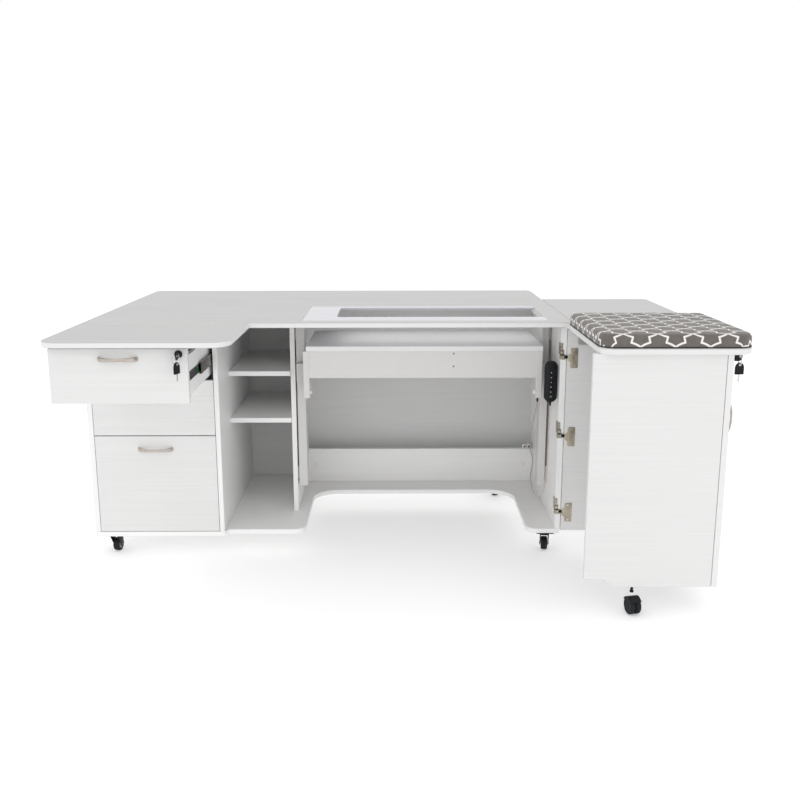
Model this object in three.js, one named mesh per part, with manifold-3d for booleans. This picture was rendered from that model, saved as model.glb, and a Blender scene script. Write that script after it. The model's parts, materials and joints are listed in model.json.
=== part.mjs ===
// A motorised sewing table: a wheeled cabinet with three drawers, a shelf bay and a knee space,
// a worktop with a machine opening and three hinged leaves, an electric machine lift, and a
// three-panel folding door on the right that opens into a box carrying an ironing board.
// Units are millimetres. +X is to the sewer's right, +Y towards the back, +Z up.
// Inside the model, y = 0 is the worktop's front edge and z = 0 the floor.
import * as THREE from "three";
import { mergeVertices } from "three/addons/utils/BufferGeometryUtils.js";
import Module from "manifold-3d";

const wasm = await Module();
wasm.setup();

// ---------- driving dimensions ----------
const board = 16; // laminated board
const gap = 0.3; // clearance between touching pieces
const reveal = 1.5; // visible gap round a drawer front
const topZ = 768; // height of the worktop's upper face
const topUnder = topZ - board;
const baseTop = 83; // upper face of the base plate
const baseUnder = baseTop - board;

const leftX = -977; // outer face of the left end panel
const seamX = 555; // worktop's right end, where the right leaf is hinged
const partitionX = -572.5; // left face of the panel between drawers and shelves
const partitionBoard = 15;
const shelfWallX = -352; // left face of the panel between shelves and knee space
const shelfWallFront = 202;
const rightX = 539; // outer face of the right end panel
const stepBack = 19; // how far shelves' base and right panel stand back from the front
const carcassBack = 647; // back of the cabinet and of the fixed worktop
const edgeRound = 1.5; // softened board edges

const shelfTops = { upper: 579, lower: 418 };
const shelfFront = 190;
const stretcherFront = 540;
const stretcherTop = 211;
const baseStepWidth = 12; // the base plate's front slopes back over this width beside the drawers

const rearLeafBack = 971;
const rearCornerRound = 25;
const leafSeam = 2; // gap along a hinged seam
const frontLeafDepth = 381;
const frontLeafRight = -453;
const frontLeafRound = 60;
const rightLeafEnd = 950;

const openingX = [-290, 482]; // machine opening through the worktop
const openingY = [56, 418];
const rebateWidth = 6; // ledge that carries the insert
const rebateDepth = 6.3;
const insertThickness = 6;
const bedX = -190; // left end of the space left free for a machine's bed
const bedY = [140, 385];

const kneeLeft = -297; // knee cut-out in the base plate
const kneeRight = 432;
const kneeBack = 434;
const kneeRound = 90;
const footRound = 36;

const drawerFronts = { top: [589, 744], middle: [408, 586], bottom: [85, 405] };
const drawerBoxes = { top: [601, 716], middle: [422, 560], bottom: [100, 372] };
const topDrawerOut = 340; // how far the top drawer stands open
const handleHeights = { top: 716, middle: 544, bottom: 363 };
const handleReach = 25;
const handleHalf = 57; // half its length, for fixing screws 96 mm apart
const drawerDepth = 450;
const drawerSideGap = 13; // room for a slide on each side
const drawerWall = 12;
const drawerFloor = 6;
const slideMember = {
  z: 655,
  height: 34,
  thickness: 7,
  wallGap: 3.2, // room for the cabinet's own member
  web: 2,
  lip: 6,
};

const liftPlatformTop = 684;
const liftX = [-285, 473];
const liftY = [60, 414];
const apronBottom = 581;
const cheekBottom = 513;
const cheekThickness = 19;
const cheekDepth = 124;
const columnFront = 200;
const columnDepth = 62;
const columnTop = 742;
const columnBottom = 176; // the columns hang on the side walls, clear of the base plate
const columns = { left: [-331, -302], right: [490, 515] };
const columnMounts = [200, 680]; // undersides of the blocks that fix a column to its wall
const columnMountHeight = 40;
const guide = { drop: 60, height: 60 }; // the carriage's blocks that run in front of the columns
const cheekOverhang = 10; // how far the left cheek stands out beyond the platform
const railRise = 30; // the carriage's rear rail stops this far above the apron's foot

// The folding door, standing open: its panels follow each other from the right end panel.
const doorBottom = 76;
const doorTop = 744.5;
const doorAxis = [541, 19]; // vertical pivot between right end panel and door
const doorLeft = 543;
const doorRight = 887;
const doorFace = 22; // y of the door's inner face
const sidePanelX = 889; // inner face of the wing's side panel
const wingFront = -437.5;
const wingPanelLeft = 529;
const wingPanelRight = 887.5;
const toeRise = 24; // raised corner at the foot of the wing's front panel
const toeFlat = 45; // its level stretch
const toeCurve = 60; // and the curve that leads down from it
const restRail = { x: [577, 877], bottom: 697, thickness: 15 };
const doorHandleAt = { y: -385, z: 556 };
const hingeHeights = { top: 652, middle: 395, bottom: 139 };

const ironX = [541, 953];
const ironY = [-464, -2];
const ironBottom = 745;
const ironBoard = 18;
const ironRound = 45;
const padHeight = 40;

// The cabinet stands centred on its own frame: half way along its width and depth.
const centre = [(leftX + ironX[1]) / 2, (ironY[0] + rearLeafBack) / 2];

// ---------- materials ----------
const look = (color, roughness, metalness = 0) =>
  new THREE.MeshStandardMaterial({ color, roughness, metalness });
const laminate = look(0xeeeeec, 0.5);
const topLaminate = look(0xe4e4e1, 0.42);
const acrylic = look(0xe9e6f2, 0.12);
const whiteMetal = look(0xe6e5e3, 0.4);
const nickel = look(0xa79e92, 0.3, 1);
const hingeSteel = look(0x968b78, 0.35, 1);
const slideSteel = look(0x26272a, 0.4, 0.9);
const blackPlastic = look(0x17181a, 0.4);
const rubber = look(0x1d1d1e, 0.75);
const greyPlastic = look(0x9aa29c, 0.6);
const fabric = look(0x69645f, 0.95);
const cableSkin = look(0xcbbcae, 0.55);

const table = new THREE.Group();
table.position.set(-centre[0], -centre[1], 0);

function add(name, geometry, material) {
  const mesh = new THREE.Mesh(geometry, material);
  mesh.name = name;
  table.add(mesh);
  return mesh;
}

// ---------- outlines ----------
// A rectangle whose corners are rounded: radii run from the low corner, anticlockwise.
function rectangle(x0, x1, y0, y1, radii = [0, 0, 0, 0]) {
  const corners = [
    [x0, y0, Math.PI],
    [x1, y0, 1.5 * Math.PI],
    [x1, y1, 0],
    [x0, y1, 0.5 * Math.PI],
  ];
  const shape = new THREE.Shape();
  corners.forEach(([x, y, start], i) => {
    const r = radii[i];
    if (!r) {
      i ? shape.lineTo(x, y) : shape.moveTo(x, y);
      return;
    }
    const cx = x + (x === x0 ? r : -r);
    const cy = y + (y === y0 ? r : -r);
    const first = [cx + r * Math.cos(start), cy + r * Math.sin(start)];
    i ? shape.lineTo(...first) : shape.moveTo(...first);
    shape.absarc(cx, cy, r, start, start + Math.PI / 2, false);
  });
  return shape;
}

// ---------- boards ----------
// Local x, y and extrusion directions of a board that lies flat, faces the front, or faces sideways.
const lying = new THREE.Matrix4();
const facingFront = new THREE.Matrix4().makeBasis(
  new THREE.Vector3(1, 0, 0),
  new THREE.Vector3(0, 0, 1),
  new THREE.Vector3(0, -1, 0),
);
const facingSide = new THREE.Matrix4().makeBasis(
  new THREE.Vector3(0, 1, 0),
  new THREE.Vector3(0, 0, 1),
  new THREE.Vector3(1, 0, 0),
);

function sheet(shape, thickness, round, steps = 6) {
  return new THREE.ExtrudeGeometry(shape, {
    depth: thickness - 2 * round,
    bevelEnabled: round > 0,
    bevelThickness: round,
    bevelSize: round,
    bevelOffset: -round,
    bevelSegments: 1,
    curveSegments: steps,
  }).translate(0, 0, round);
}

// A flat board from its outline in plan.
function flat(shape, bottom, thickness = board, round = edgeRound) {
  return sheet(shape, thickness, round).applyMatrix4(lying).translate(0, 0, bottom);
}

// An upright board from its outline in front view (x, z); front is the y of its front face.
function upright(shape, front, thickness = board, round = 0.8) {
  return sheet(shape, thickness, round).applyMatrix4(facingFront).translate(0, front + thickness, 0);
}

// An upright board from its outline in side view (y, z); left is the x of its left face.
function side(shape, left, thickness = board, round = 0.8) {
  return sheet(shape, thickness, round).applyMatrix4(facingSide).translate(left, 0, 0);
}

function block(x0, x1, y0, y1, z0, z1) {
  return new THREE.BoxGeometry(x1 - x0, y1 - y0, z1 - z0).translate(
    (x0 + x1) / 2,
    (y0 + y1) / 2,
    (z0 + z1) / 2,
  );
}

// ---------- booleans ----------
function solid(geometry) {
  const plain = geometry.clone();
  plain.deleteAttribute("normal");
  plain.deleteAttribute("uv");
  const merged = mergeVertices(plain, 1e-4);
  return new wasm.Manifold(
    new wasm.Mesh({
      numProp: 3,
      vertProperties: merged.attributes.position.array,
      triVerts: new Uint32Array(merged.index.array),
    }),
  );
}

function geometryOf(manifold) {
  const mesh = manifold.getMesh();
  const geometry = new THREE.BufferGeometry();
  geometry.setAttribute("position", new THREE.BufferAttribute(mesh.vertProperties, 3));
  geometry.setIndex(new THREE.BufferAttribute(mesh.triVerts, 1));
  geometry.computeVertexNormals();
  return geometry;
}

const cut = (from, ...tools) =>
  geometryOf(tools.reduce((rest, tool) => rest.subtract(solid(tool)), solid(from)));
const join = (first, ...others) =>
  geometryOf(others.reduce((all, other) => all.add(solid(other)), solid(first)));

// ---------- carcass ----------
function basePlate() {
  const shape = new THREE.Shape();
  const front = stepBack;
  shape.moveTo(leftX, 0);
  shape.lineTo(partitionX + partitionBoard, 0);
  shape.lineTo(partitionX + partitionBoard + baseStepWidth, front);
  shape.lineTo(kneeLeft - footRound, front);
  shape.absarc(kneeLeft - footRound, front + footRound, footRound, -Math.PI / 2, 0, false);
  shape.lineTo(kneeLeft, kneeBack - kneeRound);
  shape.absarc(kneeLeft + kneeRound, kneeBack - kneeRound, kneeRound, Math.PI, Math.PI / 2, true);
  shape.lineTo(kneeRight - kneeRound, kneeBack);
  shape.absarc(kneeRight - kneeRound, kneeBack - kneeRound, kneeRound, Math.PI / 2, 0, true);
  shape.lineTo(kneeRight, front + footRound);
  shape.absarc(kneeRight + footRound, front + footRound, footRound, Math.PI, 1.5 * Math.PI, false);
  shape.lineTo(rightX, front);
  shape.lineTo(rightX, carcassBack);
  shape.lineTo(leftX, carcassBack);
  add("base_plate", flat(shape, baseUnder), laminate);
}

function carcass() {
  basePlate();
  const low = baseTop + gap;
  const high = topUnder - gap;
  const back = carcassBack - board - gap;
  add("left_end_panel", side(rectangle(0, back, low, high), leftX), laminate);
  add(
    "drawer_partition",
    side(rectangle(0, back, low, high), partitionX, partitionBoard),
    laminate,
  );
  add("shelf_partition", side(rectangle(shelfWallFront, back, low, high), shelfWallX), laminate);
  add("right_end_panel", side(rectangle(stepBack, back, low, high), rightX - board), laminate);
  add("back_panel", upright(rectangle(leftX, rightX, low, high), carcassBack - board), laminate);

  const kneeSpan = [shelfWallX + board + gap, rightX - board - gap];
  add(
    "rear_stretcher",
    upright(rectangle(...kneeSpan, low, stretcherTop), stretcherFront),
    laminate,
  );
  const bay = [partitionX + partitionBoard + gap, shelfWallX - gap];
  for (const [name, top] of Object.entries(shelfTops)) {
    const plan = rectangle(...bay, shelfFront, back - gap);
    add(name + "_shelf", flat(plan, top - board, board, 0.8), laminate);
  }
}

// ---------- worktop and leaves ----------
function worktop() {
  const whole = flat(rectangle(leftX, seamX, 0, carcassBack), topUnder);
  const opening = flat(
    rectangle(...openingX, ...openingY, [12, 12, 12, 12]),
    topUnder - 1,
    board + 2,
    0,
  );
  const rebate = flat(
    rectangle(
      openingX[0] - rebateWidth,
      openingX[1] + rebateWidth,
      openingY[0] - rebateWidth,
      openingY[1] + rebateWidth,
      [14, 14, 14, 14],
    ),
    topZ - rebateDepth,
    rebateDepth + 1,
    0,
  );
  add("worktop", cut(whole, opening, rebate), topLaminate);

  // The insert fills the rebate round a machine's bed and is open at its right end.
  const x0 = openingX[0] - rebateWidth + 0.5;
  const x1 = openingX[1] + rebateWidth - 0.5;
  const y0 = openingY[0] - rebateWidth + 0.5;
  const y1 = openingY[1] + rebateWidth - 0.5;
  const plate = flat(
    rectangle(x0, x1, y0, y1, [13, 13, 13, 13]),
    topZ - insertThickness,
    insertThickness,
    0.4,
  );
  const bed = flat(
    rectangle(bedX, x1 + 20, ...bedY, [18, 0, 0, 18]),
    topZ - insertThickness - 1,
    insertThickness + 2,
    0,
  );
  add("machine_insert", cut(plate, bed), acrylic);
}

function leaves() {
  const front = -leafSeam - frontLeafDepth;
  add(
    "front_leaf",
    flat(
      rectangle(leftX, frontLeafRight, front, -leafSeam, [frontLeafRound, frontLeafRound, 0, 0]),
      topUnder,
    ),
    topLaminate,
  );
  add(
    "right_leaf",
    flat(rectangle(seamX + leafSeam, rightLeafEnd, 0, carcassBack, [0, 20, 20, 0]), topUnder),
    topLaminate,
  );
  add(
    "rear_leaf",
    flat(
      rectangle(leftX, seamX, carcassBack + leafSeam, rearLeafBack, [
        0,
        0,
        rearCornerRound,
        rearCornerRound,
      ]),
      topUnder,
    ),
    topLaminate,
  );
}

// ---------- drawers ----------
// A bow handle of 96 mm centres, drawn along x and standing out towards -y.
function bowHandle() {
  const reach = handleReach;
  const half = handleHalf;
  const shape = new THREE.Shape();
  shape.moveTo(-half, 0);
  shape.bezierCurveTo(-half + 14, -reach, -half + 30, -reach, 0, -reach);
  shape.bezierCurveTo(half - 30, -reach, half - 14, -reach, half, 0);
  shape.lineTo(half - 14, 0);
  shape.bezierCurveTo(half - 20, -reach + 7, half - 34, -reach + 5, 0, -reach + 5);
  shape.bezierCurveTo(-half + 34, -reach + 5, -half + 20, -reach + 7, -half + 14, 0);
  return sheet(shape, 10, 1, 8).translate(0, 0, -5);
}

function drawer(name, out) {
  const [low, high] = drawerFronts[name];
  const [boxLow, boxHigh] = drawerBoxes[name];
  const x0 = leftX + board;
  const x1 = partitionX;
  const front = -out;
  add(
    name + "_drawer_front",
    upright(rectangle(x0 + reveal, x1 - reveal, low, high), front),
    laminate,
  );
  const b0 = x0 + drawerSideGap;
  const b1 = x1 - drawerSideGap;
  const y0 = front + board + gap;
  const y1 = y0 + drawerDepth;
  const outside = block(b0, b1, y0, y1, boxLow, boxHigh);
  const inside = block(
    b0 + drawerWall,
    b1 - drawerWall,
    y0 + drawerWall,
    y1 - drawerWall,
    boxLow + drawerFloor,
    boxHigh + 1,
  );
  add(name + "_drawer_box", cut(outside, inside), laminate);
  add(
    name + "_drawer_handle",
    bowHandle().translate((x0 + x1) / 2, front - gap, handleHeights[name]),
    nickel,
  );
}

// The middle members of the top drawer's slides travel half as far as the drawer.
function topDrawerSlides() {
  const start = board + gap - topDrawerOut / 2;
  const { z, height, thickness, wallGap, web, lip } = slideMember;
  const place = {
    left: leftX + board + wallGap,
    right: partitionX - wallGap - thickness,
  };
  for (const [name, x] of Object.entries(place)) {
    const bar = block(x, x + thickness, start, start + drawerDepth, z - height / 2, z + height / 2);
    const channel = block(
      name === "left" ? x + web : x - 1,
      name === "left" ? x + thickness + 1 : x + thickness - web,
      start - 1,
      start + drawerDepth + 1,
      z - height / 2 + lip,
      z + height / 2 - lip,
    );
    add("top_slide_member_" + name, cut(bar, channel), slideSteel);
  }
}

// A lock barrel with its axis along z and its foot at z = 0, and a key whose bow stands out of it.
const barrelLength = 14;
const keySize = { width: 26, length: 22, neck: 6 };
const drawerLockAt = { x: -598, z: 729 };
const doorLockAt = { y: -396, z: 730 };

function lockBarrel() {
  return new THREE.LatheGeometry(
    [
      [0, 0],
      [11, 0],
      [11, 3],
      [9.5, 12],
      [8, barrelLength],
      [0, barrelLength],
    ].map(([r, z]) => new THREE.Vector2(r, z)),
    20,
  ).rotateX(Math.PI / 2);
}

function keyBow() {
  const { width, length, neck: neckWidth } = keySize;
  const shape = rectangle(-width / 2, width / 2, 3, length, [6, 6, 9, 9]);
  const neck = rectangle(-neckWidth / 2, neckWidth / 2, 0, 6);
  return join(sheet(shape, 3, 0.5).translate(0, 0, -1.5), sheet(neck, 2, 0).translate(0, 0, -1));
}

function locks() {
  const front = -topDrawerOut - gap;
  const { x, z } = drawerLockAt;
  add(
    "drawer_lock",
    lockBarrel()
      .rotateX(Math.PI / 2)
      .translate(x, front, z),
    blackPlastic,
  );
  add(
    "drawer_key",
    keyBow()
      .rotateY(Math.PI / 2)
      .rotateX(Math.PI)
      .translate(x, front - barrelLength - gap, z),
    blackPlastic,
  );
  const face = sidePanelX + board + gap;
  add(
    "door_lock",
    lockBarrel()
      .rotateY(Math.PI / 2)
      .translate(face, doorLockAt.y, doorLockAt.z),
    blackPlastic,
  );
  add(
    "door_key",
    keyBow()
      .rotateY(Math.PI / 2)
      .rotateZ(-Math.PI / 2)
      .translate(face + barrelLength + gap, doorLockAt.y, doorLockAt.z),
    blackPlastic,
  );
}

// ---------- machine lift ----------
function lift() {
  const under = liftPlatformTop - board;
  add("lift_platform", flat(rectangle(...liftX, ...liftY), under, board, 1), laminate);
  const back = liftY[0] + cheekDepth;
  const cheek = rectangle(liftY[0], back, cheekBottom, under - gap, [8, 8, 0, 0]);
  const left = liftX[0] - cheekOverhang;
  const right = liftX[1] - cheekThickness - 0.5;
  const apronX = [left + cheekThickness - 1, right + 1];
  const apron = block(...apronX, liftY[0] + 2, liftY[0] + 2 + board, apronBottom, under - gap);
  const rail = block(...apronX, back - board, back, apronBottom + railRise, under - gap);
  const guides = [
    [columns.left[0] + 3, left + 1],
    [right + cheekThickness - 1, columns.right[1] - 3],
  ].map(([x0, x1]) => {
    const high = under - guide.drop;
    return block(x0, x1, back - board, columnFront - 0.5, high - guide.height, high);
  });
  const cheeks = [left, right].map((x) => side(cheek, x, cheekThickness));
  add("lift_carriage", join(...cheeks, apron, rail, ...guides), whiteMetal);

  liftColumn("left", shelfWallX + board + gap, columns.left[0] + 1);
  liftColumn("right", columns.right[1] - 1, rightX - board - gap);
}

// A post with two blocks that reach from x0 to x1, one end of which is at the wall.
function liftColumn(name, x0, x1) {
  const back = columnFront + columnDepth;
  const plan = rectangle(...columns[name], columnFront, back, [3, 3, 3, 3]);
  const post = flat(plan, columnBottom, columnTop - columnBottom, 0);
  const mounts = columnMounts.map((z) =>
    block(x0, x1, columnFront + 12, back - 12, z, z + columnMountHeight),
  );
  add(name + "_lift_column", join(post, ...mounts), whiteMetal);
}

const remoteCentre = [498, 573];
const remoteSize = [42, 135, 15];
const remoteFront = 33;
const connectorX = [484, 516];

function remote() {
  const [w, h, d] = remoteSize;
  const [x, z] = remoteCentre;
  const outline = rectangle(x - w / 2, x + w / 2, z - h / 2, z + h / 2, [20, 20, 20, 20]);
  add("remote_control", upright(outline, remoteFront, d, 2.5), blackPlastic);
  // The plug where the hand control's lead meets the lift's own, on the rear stretcher.
  const [x0, x1] = connectorX;
  const plug = rectangle(x0, x1, stretcherTop + 0.4, stretcherTop + 15, [4, 4, 4, 4]);
  add("cable_connector", upright(plug, stretcherFront + 1, 13, 1.5), blackPlastic);
}

// Leads are round tubes along hand-placed points.
function tube(points, diameter, steps) {
  const path = new THREE.CatmullRomCurve3(points.map(([x, y, z]) => new THREE.Vector3(x, y, z)));
  const section = new THREE.Shape();
  section.absarc(0, 0, diameter / 2, 0, 2 * Math.PI, false);
  return new THREE.ExtrudeGeometry(section, { steps, curveSegments: 8, extrudePath: path });
}

const leadDiameter = 3.5;
const leadSteps = { remote: 78, lift: 36 };
const remoteLead = [
  [498, 40.5, 505.1],
  [498, 40.5, 480],
  [497.5, 41.5, 440],
  [497, 44, 400],
  [497, 49, 350],
  [498, 57, 300],
  [499, 69, 255],
  [498, 86, 215],
  [494, 107, 184],
  [486, 132, 164],
  [477, 158, 158],
  [473, 186, 162],
  [473, 218, 170],
  [474, 256, 180],
  [482, 300, 190],
  [493, 350, 199],
  [502, 400, 207],
  [506, 450, 213],
  [508, 500, 217.5],
  [508, 525, 218.7],
  [508, 540.7, 218.7],
];
const liftLead = [
  [492, 540.7, 218.7],
  [491, 526, 219.5],
  [489, 500, 226],
  [487.5, 460, 245],
  [486.5, 415, 275],
  [486, 370, 312],
  [486, 325, 356],
  [486.7, 285, 402],
  [487.3, 258, 436],
  [487.3, 243, 458],
  [487.3, 236, 474],
];

function cables() {
  add("remote_cable", tube(remoteLead, leadDiameter, leadSteps.remote), cableSkin);
  add("lift_cable", tube(liftLead, leadDiameter, leadSteps.lift), cableSkin);
}

// ---------- folding door and wing ----------
function wing() {
  const x0 = wingPanelLeft;
  const x1 = wingPanelRight;
  add(
    "door_panel",
    upright(rectangle(doorLeft, doorRight, doorBottom, doorTop), doorFace),
    laminate,
  );
  add(
    "wing_side_panel",
    side(rectangle(wingFront, doorAxis[1], doorBottom + 2, doorTop), sidePanelX),
    laminate,
  );
  const low = doorBottom + 2;
  const shape = new THREE.Shape();
  shape.moveTo(x0, low + toeRise);
  const bend = x0 + toeFlat + toeCurve / 2;
  shape.lineTo(x0 + toeFlat, low + toeRise);
  shape.bezierCurveTo(bend, low + toeRise, bend, low, x0 + toeFlat + toeCurve, low);
  shape.lineTo(x1, low);
  shape.lineTo(x1, doorTop);
  shape.lineTo(x0, doorTop);
  add("wing_front_panel", upright(shape, wingFront), laminate);

  const { x: railX, bottom, thickness } = restRail;
  add(
    "board_rest_rail",
    upright(rectangle(...railX, bottom, doorTop - 1), doorFace - gap - thickness, thickness),
    greyPlastic,
  );
  const handle = bowHandle()
    .rotateY(Math.PI / 2)
    .rotateZ(Math.PI / 2)
    .translate(sidePanelX + board + gap, doorHandleAt.y, doorHandleAt.z);
  add("door_handle", handle, nickel);
}

// A concealed hinge: an arm on the end panel, and a flanged cup on the door's inner face.
const hingeArm = { front: 21, back: 78, half: 8, thickness: 8 };
const hingeFoot = { front: 46, back: 58, top: 30, thickness: 2.5 };
const hingeTongue = { front: 17.8, thickness: 0.9, half: 5, web: 3 };
const cupFlange = { left: 545, shoulder: 554, right: 578, nose: 10, waist: 19, half: 32 };
const flangeThickness = 1.2;

function hingeArmAt(z) {
  const wall = rightX - board - gap;
  const { front, back, half, thickness } = hingeArm;
  const arm = block(wall - thickness - 1, wall - 1, front, back, z - half, z + half);
  const foot = block(
    wall - hingeFoot.thickness,
    wall,
    hingeFoot.front,
    hingeFoot.back,
    z - half,
    z + hingeFoot.top,
  );
  const { web } = hingeTongue;
  const low = z - hingeTongue.half;
  const high = z + hingeTongue.half;
  const tongueBack = hingeTongue.front + hingeTongue.thickness;
  const neck = block(wall - web, wall, hingeTongue.front, front + web, low - 1, high + 1);
  const reach = doorAxis[0] + web;
  const tongue = block(wall - web, reach, hingeTongue.front, tongueBack, low, high);
  return join(arm, foot, neck, tongue);
}

function hingeCupAt(z) {
  const { left, shoulder, right, nose, waist, half } = cupFlange;
  const shape = new THREE.Shape();
  shape.moveTo(left, z - nose);
  shape.lineTo(shoulder, z - waist);
  shape.lineTo(shoulder, z - half);
  shape.lineTo(right, z - half);
  shape.lineTo(right, z + half);
  shape.lineTo(shoulder, z + half);
  shape.lineTo(shoulder, z + waist);
  shape.lineTo(left, z + nose);
  return upright(shape, doorFace - gap - flangeThickness, flangeThickness, 0);
}

function concealedHinges() {
  for (const [name, z] of Object.entries(hingeHeights)) {
    add("hinge_arm_" + name, hingeArmAt(z), hingeSteel);
    add("hinge_cup_" + name, hingeCupAt(z), hingeSteel);
  }
}

// ---------- ironing board ----------
function ironingBoard() {
  const plan = [ironRound, ironRound, 20, 20];
  add(
    "ironing_board",
    flat(rectangle(...ironX, ...ironY, plan), ironBottom, ironBoard, 3),
    laminate,
  );
  const bottom = ironBottom + ironBoard + gap;
  const layers = [
    [0, 0],
    [2, 22],
    [8, padHeight - 9],
    [20, padHeight - 3],
    [40, padHeight],
  ];
  add("ironing_pad", crowned(layers, bottom), fabric);
}

// A soft pad as stacked outlines: each layer is the plan pulled in, at a height above the first.
function crowned(layers, bottom) {
  const rings = layers.map(([inset, height]) => {
    const r = Math.max(ironRound - inset, 8);
    const back = Math.max(20 - inset, 6);
    const outline = rectangle(
      ironX[0] + inset,
      ironX[1] - inset,
      ironY[0] + inset,
      ironY[1] - inset,
      [r, r, back, back],
    );
    const points = outline.getPoints(6);
    return { points, z: bottom + height };
  });
  const count = rings[0].points.length;
  const positions = [];
  rings.forEach(({ points, z }) => points.forEach((p) => positions.push(p.x, p.y, z)));
  const index = [];
  for (let k = 0; k + 1 < rings.length; k++)
    for (let i = 0; i < count; i++) {
      const a = k * count + i;
      const b = k * count + ((i + 1) % count);
      index.push(a, b, b + count, a, b + count, a + count);
    }
  for (let i = 1; i + 1 < count; i++) {
    index.push(0, i + 1, i);
    const t = (rings.length - 1) * count;
    index.push(t, t + i, t + i + 1);
  }
  const geometry = new THREE.BufferGeometry();
  geometry.setAttribute("position", new THREE.Float32BufferAttribute(positions, 3));
  geometry.setIndex(index);
  geometry.computeVertexNormals();
  return geometry;
}

// ---------- casters ----------
// Each caster's wheel trails behind its swivel: direction is that of the offset, trail its length.
const cabinetCaster = { top: baseUnder, trail: 14, radius: 22, width: 26 };
const casters = {
  front_left: { ...cabinetCaster, at: [-925, 40], direction: [0.15, 0.99] },
  front_right: { ...cabinetCaster, at: [494, 38], direction: [0.1, 0.995] },
  rear_left: { ...cabinetCaster, at: [-925, 590], direction: [0.5, 0.87] },
  rear_right: { ...cabinetCaster, at: [395, 606], direction: [-0.34, 0.94] },
  wing: {
    at: [667.5, wingFront + board / 2],
    top: doorBottom + 2,
    direction: [0.22, -0.975],
    trail: 10,
    radius: 25,
    width: 38,
  },
};
const forkSheet = 2.5;
const hubRadius = 8;

function caster(name, { at, top, direction, trail, radius, width }) {
  const turn = Math.atan2(direction[1], direction[0]);
  const half = width / 2;
  const seat = top - gap;
  const plate = new THREE.CylinderGeometry(17, 17, 5, 24)
    .rotateX(Math.PI / 2)
    .translate(0, 0, seat - 2.5);
  const crown = block(-16, trail + 9, -half - 1, half + 1, seat - 13, seat - 4);
  const cheek = new THREE.Shape();
  cheek.moveTo(-14, seat - 8);
  cheek.lineTo(trail - hubRadius, radius - 5);
  cheek.absarc(trail, radius, hubRadius, 1.25 * Math.PI, 0, false);
  cheek.lineTo(trail + 9, seat - 8);
  const cheeks = [-half - 1, half + 1 - forkSheet].map((y) =>
    sheet(cheek, forkSheet, 0)
      .applyMatrix4(facingFront)
      .translate(0, y + forkSheet, 0),
  );
  const stem = new THREE.CylinderGeometry(4, 4, 16, 12)
    .rotateX(Math.PI / 2)
    .translate(0, 0, seat - 8);
  const fork = join(plate, crown, ...cheeks, stem);
  const place = (g) => g.rotateZ(turn).translate(at[0], at[1], 0);
  add("caster_fork_" + name, place(fork), blackPlastic);

  const w = half + 1 - forkSheet - 0.7; // half the wheel, clear of both cheeks
  const r = radius;
  const profile = [
    [0, -w],
    [r * 0.55, -w],
    [r * 0.62, -w + 1.2],
    [r - 2.5, -w + 1.2],
    [r, -w + 3.5],
    [r, w - 3.5],
    [r - 2.5, w - 1.2],
    [r * 0.62, w - 1.2],
    [r * 0.55, w],
    [0, w],
  ];
  // The lathe turns about y, which is already the wheel's axle.
  const wheel = new THREE.LatheGeometry(
    profile.map(([x, y]) => new THREE.Vector2(x, y)),
    28,
  ).translate(trail, 0, r);
  add("caster_wheel_" + name, place(wheel), rubber);
}

carcass();
worktop();
leaves();
drawer("top", topDrawerOut);
drawer("middle", 0);
drawer("bottom", 0);
topDrawerSlides();
locks();
lift();
remote();
cables();
wing();
concealedHinges();
ironingBoard();
for (const [name, spec] of Object.entries(casters)) caster(name, spec);

export default table;
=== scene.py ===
# A motorised sewing table: wheeled cabinet, worktop with three leaves and a machine lift, and a
# folding wing that carries an ironing board. Everything is in metres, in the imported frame:
# +X to the sewer's right, +Y to the back, +Z up, with the floor at z = 0.
import json
import math

import bmesh
import bpy
from mathutils import Matrix, Vector, noise


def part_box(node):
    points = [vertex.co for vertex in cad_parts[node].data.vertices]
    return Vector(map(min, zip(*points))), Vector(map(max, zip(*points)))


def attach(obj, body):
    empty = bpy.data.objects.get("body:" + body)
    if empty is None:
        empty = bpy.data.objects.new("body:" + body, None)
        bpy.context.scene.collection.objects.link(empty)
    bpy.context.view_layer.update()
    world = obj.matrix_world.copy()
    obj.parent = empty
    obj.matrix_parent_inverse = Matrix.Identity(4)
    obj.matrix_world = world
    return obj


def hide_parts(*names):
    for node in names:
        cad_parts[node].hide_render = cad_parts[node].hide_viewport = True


MM = 0.001

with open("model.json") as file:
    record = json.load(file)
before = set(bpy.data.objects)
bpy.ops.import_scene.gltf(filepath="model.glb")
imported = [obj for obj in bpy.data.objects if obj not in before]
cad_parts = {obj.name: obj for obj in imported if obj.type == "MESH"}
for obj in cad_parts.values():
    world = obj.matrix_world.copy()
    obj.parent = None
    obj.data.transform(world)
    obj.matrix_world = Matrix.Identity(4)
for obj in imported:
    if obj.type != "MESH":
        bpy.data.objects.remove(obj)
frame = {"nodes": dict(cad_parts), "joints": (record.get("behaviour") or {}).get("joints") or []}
for node in frame["nodes"].values():
    node.data.update()
bpy.context.view_layer.update()

# The bench frame of the model: x from the middle of the cabinet's knee space, y from the
# worktop's front edge. The worktop's box fixes both.
WORKTOP_LEFT = -977
TOP_LOW, TOP_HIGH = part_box("worktop")
ORIGIN = Vector((TOP_LOW.x - WORKTOP_LEFT * MM, TOP_LOW.y, 0))


def bench(x, y, z):
    """A point given in bench millimetres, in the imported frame."""
    return ORIGIN + Vector((x, y, z)) * MM


def millimetres(pairs):
    return [(a * MM, b * MM) for a, b in pairs]


# ---------------------------------------------------------------- camera
SENSOR = 36
FOCAL = 42.07
CAMERA_PITCH = 12.6
CAMERA_YAW = 0.3
CAMERA_ROLL = -0.05


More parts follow.
